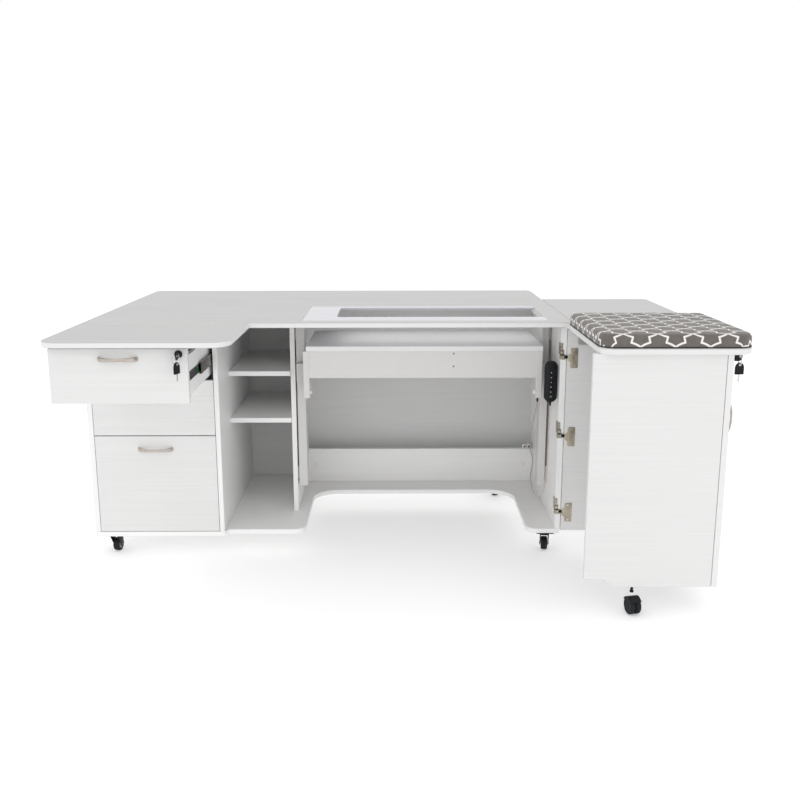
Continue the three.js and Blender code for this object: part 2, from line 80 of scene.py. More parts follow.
def make_camera():
    data = bpy.data.cameras.new("camera")
    data.sensor_width = SENSOR
    data.lens = FOCAL
    data.clip_end = 50
    camera = bpy.data.objects.new("camera", data)
    camera.location = bench(0, -2889.3, 1168)
    turn = Matrix.Rotation(math.radians(-CAMERA_YAW), 4, "Z")
    tilt = Matrix.Rotation(math.radians(90 - CAMERA_PITCH), 4, "X")
    roll = Matrix.Rotation(math.radians(CAMERA_ROLL), 4, "Z")
    camera.rotation_euler = (turn @ tilt @ roll).to_euler()
    bpy.context.scene.collection.objects.link(camera)
    bpy.context.scene.camera = camera


make_camera()


# ---------------------------------------------------------------- materials
class Nodes:
    """A material's node tree, with short calls that add a node and join its sockets."""

    def __init__(self, name, **constants):
        self.material = bpy.data.materials.new(name)
        self.material.use_nodes = True
        self.tree = self.material.node_tree
        self.tree.nodes.clear()
        self.shader = self.tree.nodes.new("ShaderNodeBsdfPrincipled")
        output = self.tree.nodes.new("ShaderNodeOutputMaterial")
        self.tree.links.new(self.shader.outputs["BSDF"], output.inputs["Surface"])
        for socket, value in constants.items():
            self.put(self.shader.inputs[socket.replace("_", " ")], value)
        texture = self.add("TexCoord")
        self.place = texture.outputs["Object"]
        self.normal = texture.outputs["Normal"]

    def put(self, socket, value):
        if isinstance(value, bpy.types.NodeSocket):
            self.tree.links.new(value, socket)
        else:
            socket.default_value = value

    def add(self, kind, inputs=None, **settings):
        node = self.tree.nodes.new("ShaderNode" + kind)
        for name, value in settings.items():
            setattr(node, name, value)
        for socket, value in (inputs or {}).items():
            self.put(node.inputs[socket], value)
        return node

    def math(self, operation, *values):
        node = self.add("Math", operation=operation)
        for socket, value in zip(node.inputs, values):
            self.put(socket, value)
        return node.outputs[0]

    def noise(self, scale, detail=2.0, vector=None):
        inputs = {"Vector": vector or self.place, "Scale": scale, "Detail": detail}
        return self.add("TexNoise", inputs).outputs[0]

    def stretched(self, scale):
        return self.add("Mapping", {"Vector": self.place, "Scale": scale}).outputs[0]

    def blend(self, factor, low, high):
        """A colour between low and high."""
        node = self.add("Mix", data_type="RGBA")
        self.put(node.inputs["Factor"], factor)
        self.put(node.inputs["A"], low)
        self.put(node.inputs["B"], high)
        return node.outputs["Result"]

    def span(self, value, low, high, start=0.3, end=0.7):
        """Maps a noise value between start and end onto low to high."""
        inputs = {"Value": value, 1: start, 2: end, 3: low, 4: high}
        return self.add("MapRange", inputs).outputs[0]

    def colour(self, value):
        self.put(self.shader.inputs["Base Color"], value)

    def roughness(self, value):
        self.put(self.shader.inputs["Roughness"], value)

    def bump(self, height, distance, strength=0.5):
        inputs = {"Height": height, "Distance": distance, "Strength": strength}
        self.put(self.shader.inputs["Normal"], self.add("Bump", inputs).outputs[0])


def shade(value, warm=0.0):
    """A near-grey colour: value is its brightness, and warm moves it towards red."""
    return (value * (1 + warm), value, value * (1 - warm), 1)


GRAIN = {"x": (2.5, 230, 230), "y": (230, 2.5, 230), "z": (230, 230, 2.5)}


def laminate(name, value, grain, warm=0.004, edge=None):
    """White woodgrain laminate: pressed fibres along one axis over a faint broad cloud. With edge given,
    faces that lie flat keep value and upright faces take edge; on the tops the darker lying faces are painted
    shade."""
    n = Nodes(name, IOR=1.5)
    lines = n.stretched(GRAIN[grain])
    fibres = n.noise(1.0, 5.0, lines)
    cloud = n.noise(5.0, 2.0)
    both = n.math("ADD", n.math("MULTIPLY", fibres, 0.7), n.math("MULTIPLY", cloud, 0.3))
    face = n.blend(n.span(both, 0, 1, 0.35, 0.65), shade(value * 0.95, warm), shade(value, warm))
    if edge:
        # Painted shade: faces that lie flat keep the darker face value, and the upright faces take the edge
        # value.
        normal = n.add("SeparateXYZ", {"Vector": n.normal}).outputs[2]
        shaded_lying_mask = n.math("GREATER_THAN", n.math("ABSOLUTE", normal), 0.5)
        face = n.blend(shaded_lying_mask, shade(edge, warm), face)
    n.colour(face)
    n.roughness(n.span(fibres, 0.52, 0.4))
    n.bump(fibres, 0.25 * MM, 0.35)
    return n.material


def brushed_metal(name, colour, roughness, scale=(40, 40, 1800)):
    n = Nodes(name, Metallic=1.0)
    scratches = n.noise(1.0, 3.0, n.stretched(scale))
    cloud = n.noise(60.0, 3.0)
    dark = tuple(c * 0.82 for c in colour[:3]) + (1,)
    n.colour(n.blend(n.span(cloud, 0, 1), dark, colour))
    n.roughness(n.span(scratches, roughness * 0.75, roughness * 1.3))
    n.bump(scratches, 0.03 * MM, 0.4)
    return n.material


def moulded(name, colour, roughness, pitch=0.9, metallic=0.0, lift=0.12, gloss=0.5):
    """Moulded plastic, rubber or paint: a fine pebbled skin with worn, lighter patches."""
    n = Nodes(name, Metallic=metallic, Specular_IOR_Level=gloss)
    skin = n.noise(1 / (pitch * MM), 2.0)
    wear = n.noise(45.0, 4.0)
    worn = tuple(min(1.0, c * (1 + lift) + lift * 0.02) for c in colour[:3]) + (1,)
    n.colour(n.blend(n.span(wear, 0, 1, 0.4, 0.75), colour, worn))
    n.roughness(n.span(wear, roughness * 0.88, min(1.0, roughness * 1.12)))
    n.bump(skin, 0.06 * MM, 0.3)
    return n.material


def acrylic():
    """The insert: clear-edged pale lavender sheet, glossy, with faint rubbed marks."""
    n = Nodes("acrylic", IOR=1.49, Coat_Weight=0.1, Coat_Roughness=0.05)
    rubbed = n.noise(1.0, 4.0, n.stretched((6, 60, 60)))
    n.colour(n.blend(n.span(rubbed, 0, 1), (0.52, 0.51, 0.57, 1), (0.58, 0.57, 0.62, 1)))
    n.roughness(n.span(rubbed, 0.1, 0.2))
    n.bump(n.noise(9.0, 1.0), 0.1 * MM, 0.15)
    return n.material


# The trellis on the pad's cover, in millimetres: one repeat, the size of the arc that leaves
# each crossing, the step that joins two arcs, and half the width of the white line.
TRELLIS_PERIOD = (92.3, 78.0)
TRELLIS_ARC = (25.0, 11.7)
TRELLIS_SLOPE = 0.75
TRELLIS_HALF_LINE = 2.7


def trellis_mask(n, u, v):
    """1 on the white trellis lines of the cloth plane (u, v), in millimetres, and 0 off them."""
    half = [p / 2 for p in TRELLIS_PERIOD]
    # Fold the plane onto a quarter of one repeat, whose corners are both crossings.
    a = n.math("PINGPONG", n.math("ABSOLUTE", u), half[0])
    b = n.math("PINGPONG", n.math("ABSOLUTE", v), half[1])
    run, rise = TRELLIS_ARC
    curve = (TRELLIS_SLOPE * run - rise) / run**2

    def arc(x, y):
        # Distance to the parabola y = slope x - curve x^2, far away beyond its end.
        flatter = n.math("SUBTRACT", TRELLIS_SLOPE, n.math("MULTIPLY", x, curve))
        height = n.math("MULTIPLY", x, flatter)
        slope = n.math("SUBTRACT", TRELLIS_SLOPE, n.math("MULTIPLY", x, 2 * curve))
        length = n.math("SQRT", n.math("ADD", 1.0, n.math("MULTIPLY", slope, slope)))
        off = n.math("DIVIDE", n.math("ABSOLUTE", n.math("SUBTRACT", y, height)), length)
        beyond = n.math("MAXIMUM", n.math("SUBTRACT", x, run), 0.0)
        return n.math("ADD", off, n.math("MULTIPLY", beyond, 3.0))

    first = arc(a, b)
    second = arc(n.math("SUBTRACT", half[0], a), n.math("SUBTRACT", half[1], b))
    # The step runs from the end of one arc to the end of the other.
    top = (run, rise)
    foot = (half[0] - run, half[1] - rise)
    along = (foot[0] - top[0], foot[1] - top[1])
    size2 = along[0] ** 2 + along[1] ** 2
    da = n.math("SUBTRACT", a, top[0])
    db = n.math("SUBTRACT", b, top[1])
    dot = n.math("ADD", n.math("MULTIPLY", da, along[0]), n.math("MULTIPLY", db, along[1]))
    share = n.math("MINIMUM", n.math("MAXIMUM", n.math("DIVIDE", dot, size2), 0.0), 1.0)
    ex = n.math("SUBTRACT", da, n.math("MULTIPLY", share, along[0]))
    ey = n.math("SUBTRACT", db, n.math("MULTIPLY", share, along[1]))
    square = n.math("ADD", n.math("MULTIPLY", ex, ex), n.math("MULTIPLY", ey, ey))
    step = n.math("SQRT", square)
    nearest = n.math("MINIMUM", n.math("MINIMUM", first, second), step)
    return n.span(nearest, 1.0, 0.0, TRELLIS_HALF_LINE - 0.25, TRELLIS_HALF_LINE + 0.25)


def pad_fabric():
    """Printed cotton canvas: warm grey with a white trellis, plain weave and loose slubs."""
    n = Nodes("pad_fabric", Roughness=0.9, Sheen_Weight=0.25, Sheen_Roughness=0.5)
    cloth = n.add("Attribute", attribute_name="cloth_mm").outputs["Vector"]
    axes = n.add("SeparateXYZ", {"Vector": cloth})
    u, v = axes.outputs[0], axes.outputs[1]
    pitch = 0.7
    warp = n.math("SINE", n.math("MULTIPLY", u, 2 * math.pi / pitch))
    weft = n.math("SINE", n.math("MULTIPLY", v, 2 * math.pi / pitch))
    weave = n.math("MULTIPLY", warp, weft)
    drawn = n.add("Mapping", {"Vector": cloth, "Scale": (0.05, 1.2, 1)}).outputs[0]
    slubs = n.noise(1.0, 3.0, drawn)
    cloud = n.noise(0.03, 3.0, cloth)
    tone = n.math("ADD", n.math("MULTIPLY", slubs, 0.6), n.math("MULTIPLY", cloud, 0.4))
    mottle = n.span(tone, 0, 1, 0.35, 0.65)
    ground = n.blend(mottle, (0.115, 0.1, 0.09, 1), (0.17, 0.152, 0.14, 1))
    print_white = n.blend(mottle, (0.78, 0.76, 0.74, 1), (0.9, 0.89, 0.87, 1))
    n.colour(n.blend(trellis_mask(n, u, v), ground, print_white))
    n.bump(n.math("ADD", weave, n.math("MULTIPLY", slubs, 1.5)), 0.12 * MM, 0.5)
    return n.material


def lead_skin():
    n = Nodes("lead_skin", Roughness=0.5)
    cloud = n.noise(70.0, 3.0)
    n.colour(n.blend(n.span(cloud, 0, 1), (0.5, 0.42, 0.36, 1), (0.62, 0.54, 0.48, 1)))
    n.bump(n.noise(900.0, 1.0), 0.04 * MM, 0.25)
    return n.material


PAINT = {
    "front_laminate": laminate("front_laminate", 0.77, "x"),
    # Painted light: the inner, side and drawer copies of the one white laminate are brighter than the fronts'
    # 0.77, to light the insides, partitions, end panels and drawer boxes where they sit in shade. The wing
    # side's depth copy at 0.8 is a little brighter as well.
    "inner_laminate_painted_light": laminate("inner_laminate_painted_light", 0.93, "x"),
    "side_laminate_painted_light": laminate("side_laminate_painted_light", 0.9, "z"),
    "depth_laminate": laminate("depth_laminate", 0.8, "y"),
    "drawer_laminate_painted_light": laminate("drawer_laminate_painted_light", 0.95, "y"),
    # Painted shade: the tops' lying faces are darker (0.55) than their upright edges (0.77), which match the
    # fronts.
    "top_laminate_painted_shade": laminate("top_laminate_painted_shade", 0.55, "x", edge=0.77),
    "acrylic": acrylic(),
    "lift_metal": moulded("lift_metal", shade(0.63, 0.02), 0.42, 1.6, lift=0.02),
    "nickel": brushed_metal("nickel", (0.56, 0.5, 0.45, 1), 0.3),
    "hinge_steel": brushed_metal("hinge_steel", (0.5, 0.45, 0.35, 1), 0.34, (300, 300, 900)),
    "bright_steel": brushed_metal("bright_steel", (0.72, 0.7, 0.67, 1), 0.26, (500, 500, 500)),
    "slide_steel": moulded("slide_steel", (0.02, 0.02, 0.021, 1), 0.36, 1.2, metallic=0.6),
    "slide_inner": brushed_metal("slide_inner", (0.24, 0.23, 0.22, 1), 0.36, (1200, 20, 1200)),
    "black_plastic": moulded("black_plastic", (0.007, 0.008, 0.01, 1), 0.42, gloss=0.22),
    "gloss_black": moulded("gloss_black", (0.006, 0.007, 0.009, 1), 0.25, 2.5, gloss=0.25),
    "caster_rubber": moulded("caster_rubber", (0.01, 0.011, 0.013, 1), 0.68, 1.4, gloss=0.25),
    "caster_grey": moulded("caster_grey", (0.2, 0.21, 0.22, 1), 0.5),
    # The board rest rail: a dark grey-green, much darker than the white boards beside it.
    "grey_plastic": moulded("grey_plastic", (0.33, 0.36, 0.34, 1), 0.6),
    "white_plastic": moulded("white_plastic", shade(0.8, 0.01), 0.4),
    "mark_white": moulded("mark_white", shade(0.62), 0.5),
    "green_plastic": moulded("green_plastic", (0.02, 0.3, 0.03, 1), 0.4),
    "pad_fabric": pad_fabric(),
    "pad_binding": moulded("pad_binding", (0.018, 0.018, 0.02, 1), 0.85, 0.6),
    "lead_skin": lead_skin(),
}

# The material of each CAD node that keeps its CAD shape.
CAD_LOOKS = {
    "top_laminate_painted_shade": ["worktop", "front_leaf", "right_leaf", "rear_leaf"],
    "inner_laminate_painted_light": ["base_plate", "rear_stretcher", "upper_shelf", "lower_shelf"],
    "front_laminate": [
        "back_panel",
        "top_drawer_front",
        "middle_drawer_front",
        "bottom_drawer_front",
        "door_panel",
        "wing_front_panel",
        "lift_platform",
        "ironing_board",
    ],
    "side_laminate_painted_light": ["left_end_panel", "drawer_partition", "shelf_partition", "right_end_panel"],
    "depth_laminate": ["wing_side_panel"],
    "drawer_laminate_painted_light": ["top_drawer_box", "middle_drawer_box", "bottom_drawer_box"],
    "acrylic": ["machine_insert"],
    "lift_metal": ["lift_carriage", "left_lift_column", "right_lift_column"],
    "grey_plastic": ["board_rest_rail"],
}


def paint_cad_nodes():
    for look, names in CAD_LOOKS.items():
        for name in names:
            slots = frame["nodes"][name].material_slots
            for slot in slots:
                slot.material = PAINT[look]


paint_cad_nodes()


# ---------------------------------------------------------------- mesh building
def frame_of(direction, up=Vector((0, 0, 1))):
    """A rotation whose local z is direction and whose local y lies towards up."""
    z = direction.normalized()
    x = up.cross(z)
    if x.length < 1e-6:
        x = Vector((1, 0, 0))
    x.normalize()
    return Matrix((x, z.cross(x), z)).transposed()


class Piece:
    """One named piece, built up from closed parts that may each have a material of their own."""

    def __init__(self, name):
        self.name = name
        self.bm = bmesh.new()
        self.looks = []

    def paint(self, faces, look):
        if look not in self.looks:
            self.looks.append(look)
        for face in faces:
            face.material_index = self.looks.index(look)

    def rings(self, rings, look, closed_ends=True, looped=False):
        """Skins rings of points, each with the same count; a looped skin joins last to first."""
        made = [[self.bm.verts.new(p) for p in ring] for ring in rings]
        count = len(made[0])
        faces = []
        spans = len(made) if looped else len(made) - 1
        for k in range(spans):
            low, high = made[k], made[(k + 1) % len(made)]
            for i in range(count):
                j = (i + 1) % count
                faces.append(self.bm.faces.new((low[i], low[j], high[j], high[i])))
        if closed_ends and not looped:
            faces.append(self.bm.faces.new(made[0][::-1]))
            faces.append(self.bm.faces.new(made[-1]))
        self.paint(faces, look)
        return self

    def prism(self, outline, place, depth, look, round=0.0, steps=2):
        """An outline in local x, y (metres), extruded along local z, with rounded rims."""
        levels = []
        for k in range(steps + 1) if round else [0]:
            t = k / steps * math.pi / 2 if round else 0
            levels.append((round * (1 - math.sin(t)), round * (1 - math.cos(t))))
        profile = levels + [(inset, depth - height) for inset, height in reversed(levels)]
        if not round:
            profile = [(0, 0), (0, depth)]
        loops = [
            [place @ Vector((x, y, z)) for x, y in shrink(outline, inset)] for inset, z in profile
        ]
        return self.rings(loops, look)

    def block(self, low, high, look, round=0.4 * MM):
        """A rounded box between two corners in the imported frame."""
        low, high = Vector(low), Vector(high)
        round = min(round, min(high - low) * 0.4)
        outline = rounded_rectangle(high.x - low.x, high.y - low.y, round, 3)
        centre = Matrix.Translation(((low.x + high.x) / 2, (low.y + high.y) / 2, low.z))
        return self.prism(outline, centre, high.z - low.z, look, round)

    def lathe(self, profile, place, look, segments=32):
        """Turns (radius, height) pairs round local z. The first and last radius may be 0."""
        rings = []
        for radius, height in profile:
            radius = max(radius, 1e-5)
            turn = [2 * math.pi * i / segments for i in range(segments)]
            ring = [Vector((radius * math.cos(a), radius * math.sin(a), height)) for a in turn]
            rings.append([place @ p for p in ring])
        return self.rings(rings, look)

    def tube(self, points, radius, look, segments=12, looped=False):
        """A round bar along points; radius is a number or one number for each point."""
        count = len(points)
        radii = radius if isinstance(radius, list) else [radius] * count
        rings = []
        side = None
        for i, point in enumerate(points):
            after = points[(i + 1) % count] if looped or i + 1 < count else point
            before = points[i - 1] if looped or i else point
            tangent = (after - before).normalized()
            if side is None:
                side = tangent.orthogonal().normalized()
            side = (side - tangent * side.dot(tangent)).normalized()
            other = tangent.cross(side)
            turn = [2 * math.pi * k / segments for k in range(segments)]
            rings.append([point + (side * math.cos(a) + other * math.sin(a)) * radii[i] for a in turn])
        return self.rings(rings, look, looped=looped)

    def finish(self, body, replaces=(), angle=38):
        bmesh.ops.recalc_face_normals(self.bm, faces=self.bm.faces)
        mesh = bpy.data.meshes.new(self.name)
        self.bm.to_mesh(mesh)
        self.bm.free()
        for look in self.looks:
            mesh.materials.append(PAINT[look])
        mesh.shade_smooth()
        mesh.set_sharp_from_angle(angle=math.radians(angle))
        piece = bpy.data.objects.new(self.name, mesh)
        bpy.context.scene.collection.objects.link(piece)
        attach(piece, body)
        if replaces:
            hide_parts(*replaces)
        return piece


def rounded_rectangle(width, depth, radius, steps=6):
    """An outline centred on the origin, anticlockwise."""
    points = []
    corners = [(-1, -1, 180), (1, -1, 270), (1, 1, 0), (-1, 1, 90)]
    for sx, sy, start in corners:
        cx, cy = sx * (width / 2 - radius), sy * (depth / 2 - radius)
        for k in range(steps + 1):
            a = math.radians(start + 90 * k / steps)
            points.append((cx + radius * math.cos(a), cy + radius * math.sin(a)))
    return points


def circle(radius, steps=24, centre=(0, 0)):
    turn = [2 * math.pi * k / steps for k in range(steps)]
    return [(centre[0] + radius * math.cos(a), centre[1] + radius * math.sin(a)) for a in turn]


def shrink(outline, inset):
    """The outline with each point moved in along its corner's bisector."""
    if not inset:
        return outline
    count = len(outline)
    moved = []
    for i, (x, y) in enumerate(outline):
        (ax, ay), (bx, by) = outline[i - 1], outline[(i + 1) % count]
        first = Vector((x - ax, y - ay)).normalized()
        second = Vector((bx - x, by - y)).normalized()
        n1, n2 = Vector((-first.y, first.x)), Vector((-second.y, second.x))
        middle = n1 + n2
        middle = middle / max(middle.length_squared, 1e-9) * 2
        if middle.length > 2:
            middle = middle.normalized() * 2
        moved.append((x + middle.x * inset, y + middle.y * inset))
    return moved


def looking(point, direction, up=(0, 0, 1)):
    """A placement at point whose local z is direction."""
    return Matrix.Translation(point) @ frame_of(Vector(direction), Vector(up)).to_4x4()


# ---------------------------------------------------------------- leads
LEAD_DIAMETER = 3.5 * MM
REMOTE_LEAD = [
    (0.51, -0.213, 0.5051), (0.51, -0.213, 0.48), (0.5095, -0.212, 0.44), (0.509, -0.2095, 0.4),
    (0.509, -0.2045, 0.35), (0.51, -0.1965, 0.3), (0.511, -0.1845, 0.255), (0.51, -0.1675, 0.215),
    (0.506, -0.1465, 0.184), (0.498, -0.1215, 0.164), (0.489, -0.0955, 0.158), (0.485, -0.0675, 0.162),
    (0.485, -0.0355, 0.17), (0.486, 0.0025, 0.18), (0.494, 0.0465, 0.19), (0.505, 0.0965, 0.199),
    (0.514, 0.1465, 0.207), (0.518, 0.1965, 0.213), (0.52, 0.2465, 0.2175), (0.52, 0.2715, 0.2187),
    (0.52, 0.2872, 0.2187),
]
LIFT_LEAD = [
    (0.504, 0.2872, 0.2187), (0.503, 0.2725, 0.2195), (0.501, 0.2465, 0.226), (0.4995, 0.2065, 0.245),
    (0.4985, 0.1615, 0.275), (0.498, 0.1165, 0.312), (0.498, 0.0715, 0.356), (0.4987, 0.0315, 0.402),
    (0.4993, 0.0045, 0.436), (0.4993, -0.0105, 0.458), (0.4993, -0.0175, 0.474),
]
RELIEF_LENGTH = 14 * MM


def smooth_route(points, steps=8):
    """A Catmull-Rom line through the points."""
    points = [Vector(p) for p in points]
    ends = [points[0] * 2 - points[1], *points, points[-1] * 2 - points[-2]]
    line = []
    for p0, p1, p2, p3 in zip(ends, ends[1:], ends[2:], ends[3:]):
        for k in range(steps):
            t = k / steps
            curve = (
                2 * p1
                + (p2 - p0) * t
                + (2 * p0 - 5 * p1 + 4 * p2 - p3) * t**2
                + (3 * p1 - p0 - 3 * p2 + p3) * t**3
            )
            line.append(curve / 2)
    return [*line, points[-1]]


def make_lead(name, route, node):
    line = smooth_route(route)
    data = bpy.data.curves.new(name, "CURVE")
    data.dimensions = "3D"
    data.bevel_depth = LEAD_DIAMETER / 2
    data.bevel_resolution = 5
    data.use_fill_caps = True
    spline = data.splines.new("POLY")
    spline.points.add(len(line) - 1)
    for point, place in zip(spline.points, line):
        point.co = (*place, 1)
    data.materials.append(PAINT["lead_skin"])
    lead = bpy.data.objects.new(name, data)
    bpy.context.scene.collection.objects.link(lead)
    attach(lead, "cabinet")
    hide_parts(node)
    return lead, line


def strain_relief(name, line, start, look="black_plastic"):
    """A ribbed taper round the lead's end: start is True for the route's first end."""
    line = line if start else line[::-1]
    travelled, points, radii = 0, [line[0]], [3.6 * MM]
    for a, b in zip(line, line[1:]):
        travelled += (b - a).length
        if travelled > RELIEF_LENGTH:
            break
        taper = travelled / RELIEF_LENGTH
        rib = 0.35 * MM if len(points) % 2 else 0
        points.append(b)
        radii.append((3.6 - 1.3 * taper) * MM + rib)
    piece = Piece(name)
    piece.tube(points, radii, look, 16)
    return piece.finish("cabinet")


def connector():
    """The in-line plug between the two leads: a ribbed pale shell with a split line."""
    low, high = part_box("cable_connector")
    piece = Piece("cable_connector_shell")
    middle = (low + high) / 2
    width, depth, height = high - low
    outline = rounded_rectangle(width, height, 4 * MM)
    split = 0.5 * MM
    for near, far in ((0, depth / 2 - split / 2), (depth / 2 + split / 2, depth)):
        place = looking((middle.x, low.y + near, middle.z), (0, 1, 0))
        piece.prism(outline, place, far - near, "white_plastic", 1.0 * MM)
    core = rounded_rectangle(width - 2 * MM, height - 2 * MM, 3 * MM)
    inside = looking((middle.x, low.y + 2 * MM, middle.z), (0, 1, 0))
    piece.prism(core, inside, depth - 4 * MM, "white_plastic")
    for k in range(-2, 3):
        x = middle.x + k * 5 * MM
        piece.block(
            (x - 0.8 * MM, low.y + 1.5 * MM, high.z - 0.4 * MM),
            (x + 0.8 * MM, high.y - 1.5 * MM, high.z + 0.4 * MM),
            "white_plastic",
            0.3 * MM,
        )
    return piece.finish("cabinet", ["cable_connector"])


def make_leads():
    remote_lead, remote_line = make_lead("hand_control_lead", REMOTE_LEAD, "remote_cable")
    lift_lead, lift_line = make_lead("lift_lead", LIFT_LEAD, "lift_cable")
    shell = connector()
    top = strain_relief("relief_hand_control", remote_line, True)
    foot = strain_relief("relief_hand_lead_plug", remote_line, False)
    plug = strain_relief("relief_lift_lead_plug", lift_line, True)
    column = strain_relief("relief_lift_column", lift_line, False)


make_leads()


# ---------------------------------------------------------------- handles
HANDLE_HALF = 57 * MM
HANDLE_REACH = 25 * MM
BOW_POWER = 2.6  # a higher power flattens the bow's middle
BOW_ROOT = 0.62  # a lower root steepens its feet
FOOT_INSET = 4.5 * MM


def bow_handle(name, body, node, along, out):
    """A slim nickel bow: flat-sided at its feet, thin at the middle."""
    low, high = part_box(node)
    along, out = Vector(along), Vector(out)
    middle = (low + high) / 2
    face = low if out.x + out.y + out.z > 0 else high
    axis = max(range(3), key=lambda i: abs(out[i]))
    middle[axis] = face[axis]
    across = out.cross(along)
    steps = 36
    rings = []
    for k in range(steps + 1):
        t = -1 + 2 * k / steps
        way = math.copysign(1, t)
        left = 1 - abs(t) ** BOW_POWER
        reach = (HANDLE_REACH - 2.6 * MM) * left**BOW_ROOT
        near_foot = abs(t) ** 3
        half_width = (4.3 + 2.2 * near_foot) * MM
        half_thick = (2.3 + 1.4 * near_foot) * MM
        slope = -way * BOW_ROOT * BOW_POWER * abs(t) ** 1.6 * max(1e-3, left) ** -0.38
        lean = max(-1.35, min(1.35, math.atan2(slope * HANDLE_REACH, HANDLE_HALF)))
        normal = out * math.cos(lean) - along * math.sin(lean)
        if k in (0, steps):
            normal = along * way
            reach = 0.1 * MM
        at = middle + along * (t * (HANDLE_HALF - FOOT_INSET)) + out * reach
        ring = []
        for i in range(20):
            a = 2 * math.pi * i / 20
            c, s = math.cos(a), math.sin(a)
            wide = math.copysign(abs(c) ** 0.7, c) * half_width
            thick = math.copysign(abs(s) ** 0.7, s) * half_thick
            ring.append(at + across * wide + normal * thick)
        rings.append(ring)
    piece = Piece(name)
    piece.rings(rings, "nickel")
    return piece.finish(body, [node])


def handles():
    for drawer in ("top", "middle", "bottom"):
        name = drawer + "_drawer_handle"
        bow_handle(name + "_bow", drawer + "_drawer", name, (1, 0, 0), (0, -1, 0))
    bow_handle("door_handle_bow", "wing_side", "door_handle", (0, 0, 1), (1, 0, 0))


handles()


# ---------------------------------------------------------------- locks and keys
KEY_WIDTH = 26 * MM
KEY_THICK = 3.4 * MM
KEY_EYE = 6 * MM  # from the head's end to its eye
SPARE_HEAD = 33 * MM
SPARE_BLADE = 20 * MM
RING_RADIUS = 12.5 * MM
RING_WIRE = 0.6 * MM


def key_outline(height):
    """A key's plastic head: domed top, straight sides, square shoulders; y from 0 to height."""
    half = KEY_WIDTH / 2
    shoulder, spring = 1.5 * MM, height * 0.55
    dome = []
    for k in range(13):
        a = math.pi * k / 12
        dome.append((half * math.cos(a), spring + (height - spring) * math.sin(a)))
    return [(-half + shoulder, 0), (half - shoulder, 0), (half, shoulder), *dome, (-half, shoulder)]


def ring_points(place, radius, steps=28):
    return [place @ Vector((x, y, 0)) for x, y in circle(radius, steps)]


def key_head(piece, place, height):
    """The head's plate, with a raised middle and a steel eye, in the local x, y plane."""
    outline = key_outline(height)
    half = KEY_THICK / 2
    back = place @ Matrix.Translation((0, 0, -half))
    piece.prism(outline, back, KEY_THICK, "black_plastic", 0.9 * MM)
    proud = half + 0.35 * MM
    middle = place @ Matrix.Translation((0, 0, -proud))
    piece.prism(shrink(outline, 3 * MM), middle, 2 * proud, "black_plastic", 0.4 * MM)
    eye = half + 0.6 * MM
    profile = [(2.2 * MM, 0), (3.4 * MM, 0), (3.4 * MM, 2 * eye), (2.2 * MM, 2 * eye)]
    piece.lathe(profile, place @ Matrix.Translation((0, height - KEY_EYE, -eye)), "bright_steel", 20)


def key_blade(piece, place, length):
    """The blade below the head, with cuts along one edge."""
    half, thick = 2.6 * MM, 1.8 * MM
    cuts = [0, 0.9, 0.2, 1.3, 0.5, 1.1, 0.3]
    edge = [(half - deep * MM, -length * (k + 0.5) / len(cuts)) for k, deep in enumerate(cuts)]
    tip = [(half / 2, -length), (-half / 2, -length), (-half, -length + 1.6 * MM)]
    outline = [(-half, 0), *tip[::-1], *edge[::-1], (half, 0)]
    piece.prism(outline, place @ Matrix.Translation((0, 0, -thick / 2)), thick, "bright_steel")


def lock_barrel(prefix, node, body, out):
    """The barrel's flange, tapered body and a plain round plug in its face; returns where its face is."""
    low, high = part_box(node)
    foot = (low + high) / 2
    axis = max(range(3), key=lambda i: abs(out[i]))
    foot[axis] = high[axis] if out[axis] < 0 else low[axis]
    length = high[axis] - low[axis]
    place = looking(foot, out)
    barrel = Piece(prefix + "_lock_barrel")
    flange = [(0, 0), (11, 0), (11, 2.2), (10.4, 2.9)]
    shell = [(9.7, 3.2), (9.3, 11), (8.4, 12.6), (7.4, 13), (0, 13)]
    barrel.lathe(millimetres(flange + shell), place, "black_plastic", 40)
    face = place @ Matrix.Translation((0, 0, 12.6 * MM))
    plug = millimetres([(0, 0), (5.4, 0), (5.4, 0.9), (4.9, 1.1), (0, 1.1)])
    barrel.lathe(plug, face, "slide_inner", 28)
    barrel.finish(body, [node])
    return foot + out * length


def lock_set(prefix, body, out, spare_turn):
    """A lock with a key in it, a split ring through the key's eye, and a spare key on the ring."""
    out = Vector(out)
    face = lock_barrel(prefix, prefix + "_lock", body, out)
    up = Vector((0, 0, 1))
    side = up.cross(out)
    key_low, key_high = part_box(prefix + "_key")
    reach = max(abs((corner - face).dot(out)) for corner in (key_low, key_high))
    root = face + out * 0.6 * MM
    standing = Matrix.Translation(root) @ Matrix((up, out, -side)).transposed().to_4x4()
    key = Piece(prefix + "_key_in_lock")
    key_head(key, standing, reach - 0.6 * MM)
    key.finish(prefix + "_key", [prefix + "_key"])

    eye = root + out * (reach - 0.6 * MM - KEY_EYE)
    centre = eye - up * (RING_RADIUS - 1 * MM)
    hoop = Matrix.Translation(centre) @ Matrix((side, up, out)).transposed().to_4x4()
    ring = Piece(prefix + "_key_ring")
    for layer in (-1, 1):
        coil = [p + out * layer * RING_WIRE * 0.92 for p in ring_points(hoop, RING_RADIUS)]
        ring.tube(coil, RING_WIRE, "bright_steel", 8, True)
    ring.finish(body)

    hang = centre - up * (RING_RADIUS - 1 * MM + SPARE_HEAD - KEY_EYE)
    facing = Matrix.Rotation(math.radians(spare_turn), 4, "Z")
    basis = Matrix(((1, 0, 0, 0), (0, 0, -1, 0), (0, 1, 0, 0), (0, 0, 0, 1)))
    spare_place = Matrix.Translation(hang) @ facing @ basis
    spare = Piece(prefix + "_spare_key")
    key_head(spare, spare_place, SPARE_HEAD)
    key_blade(spare, spare_place, SPARE_BLADE)
    spare.finish(body)


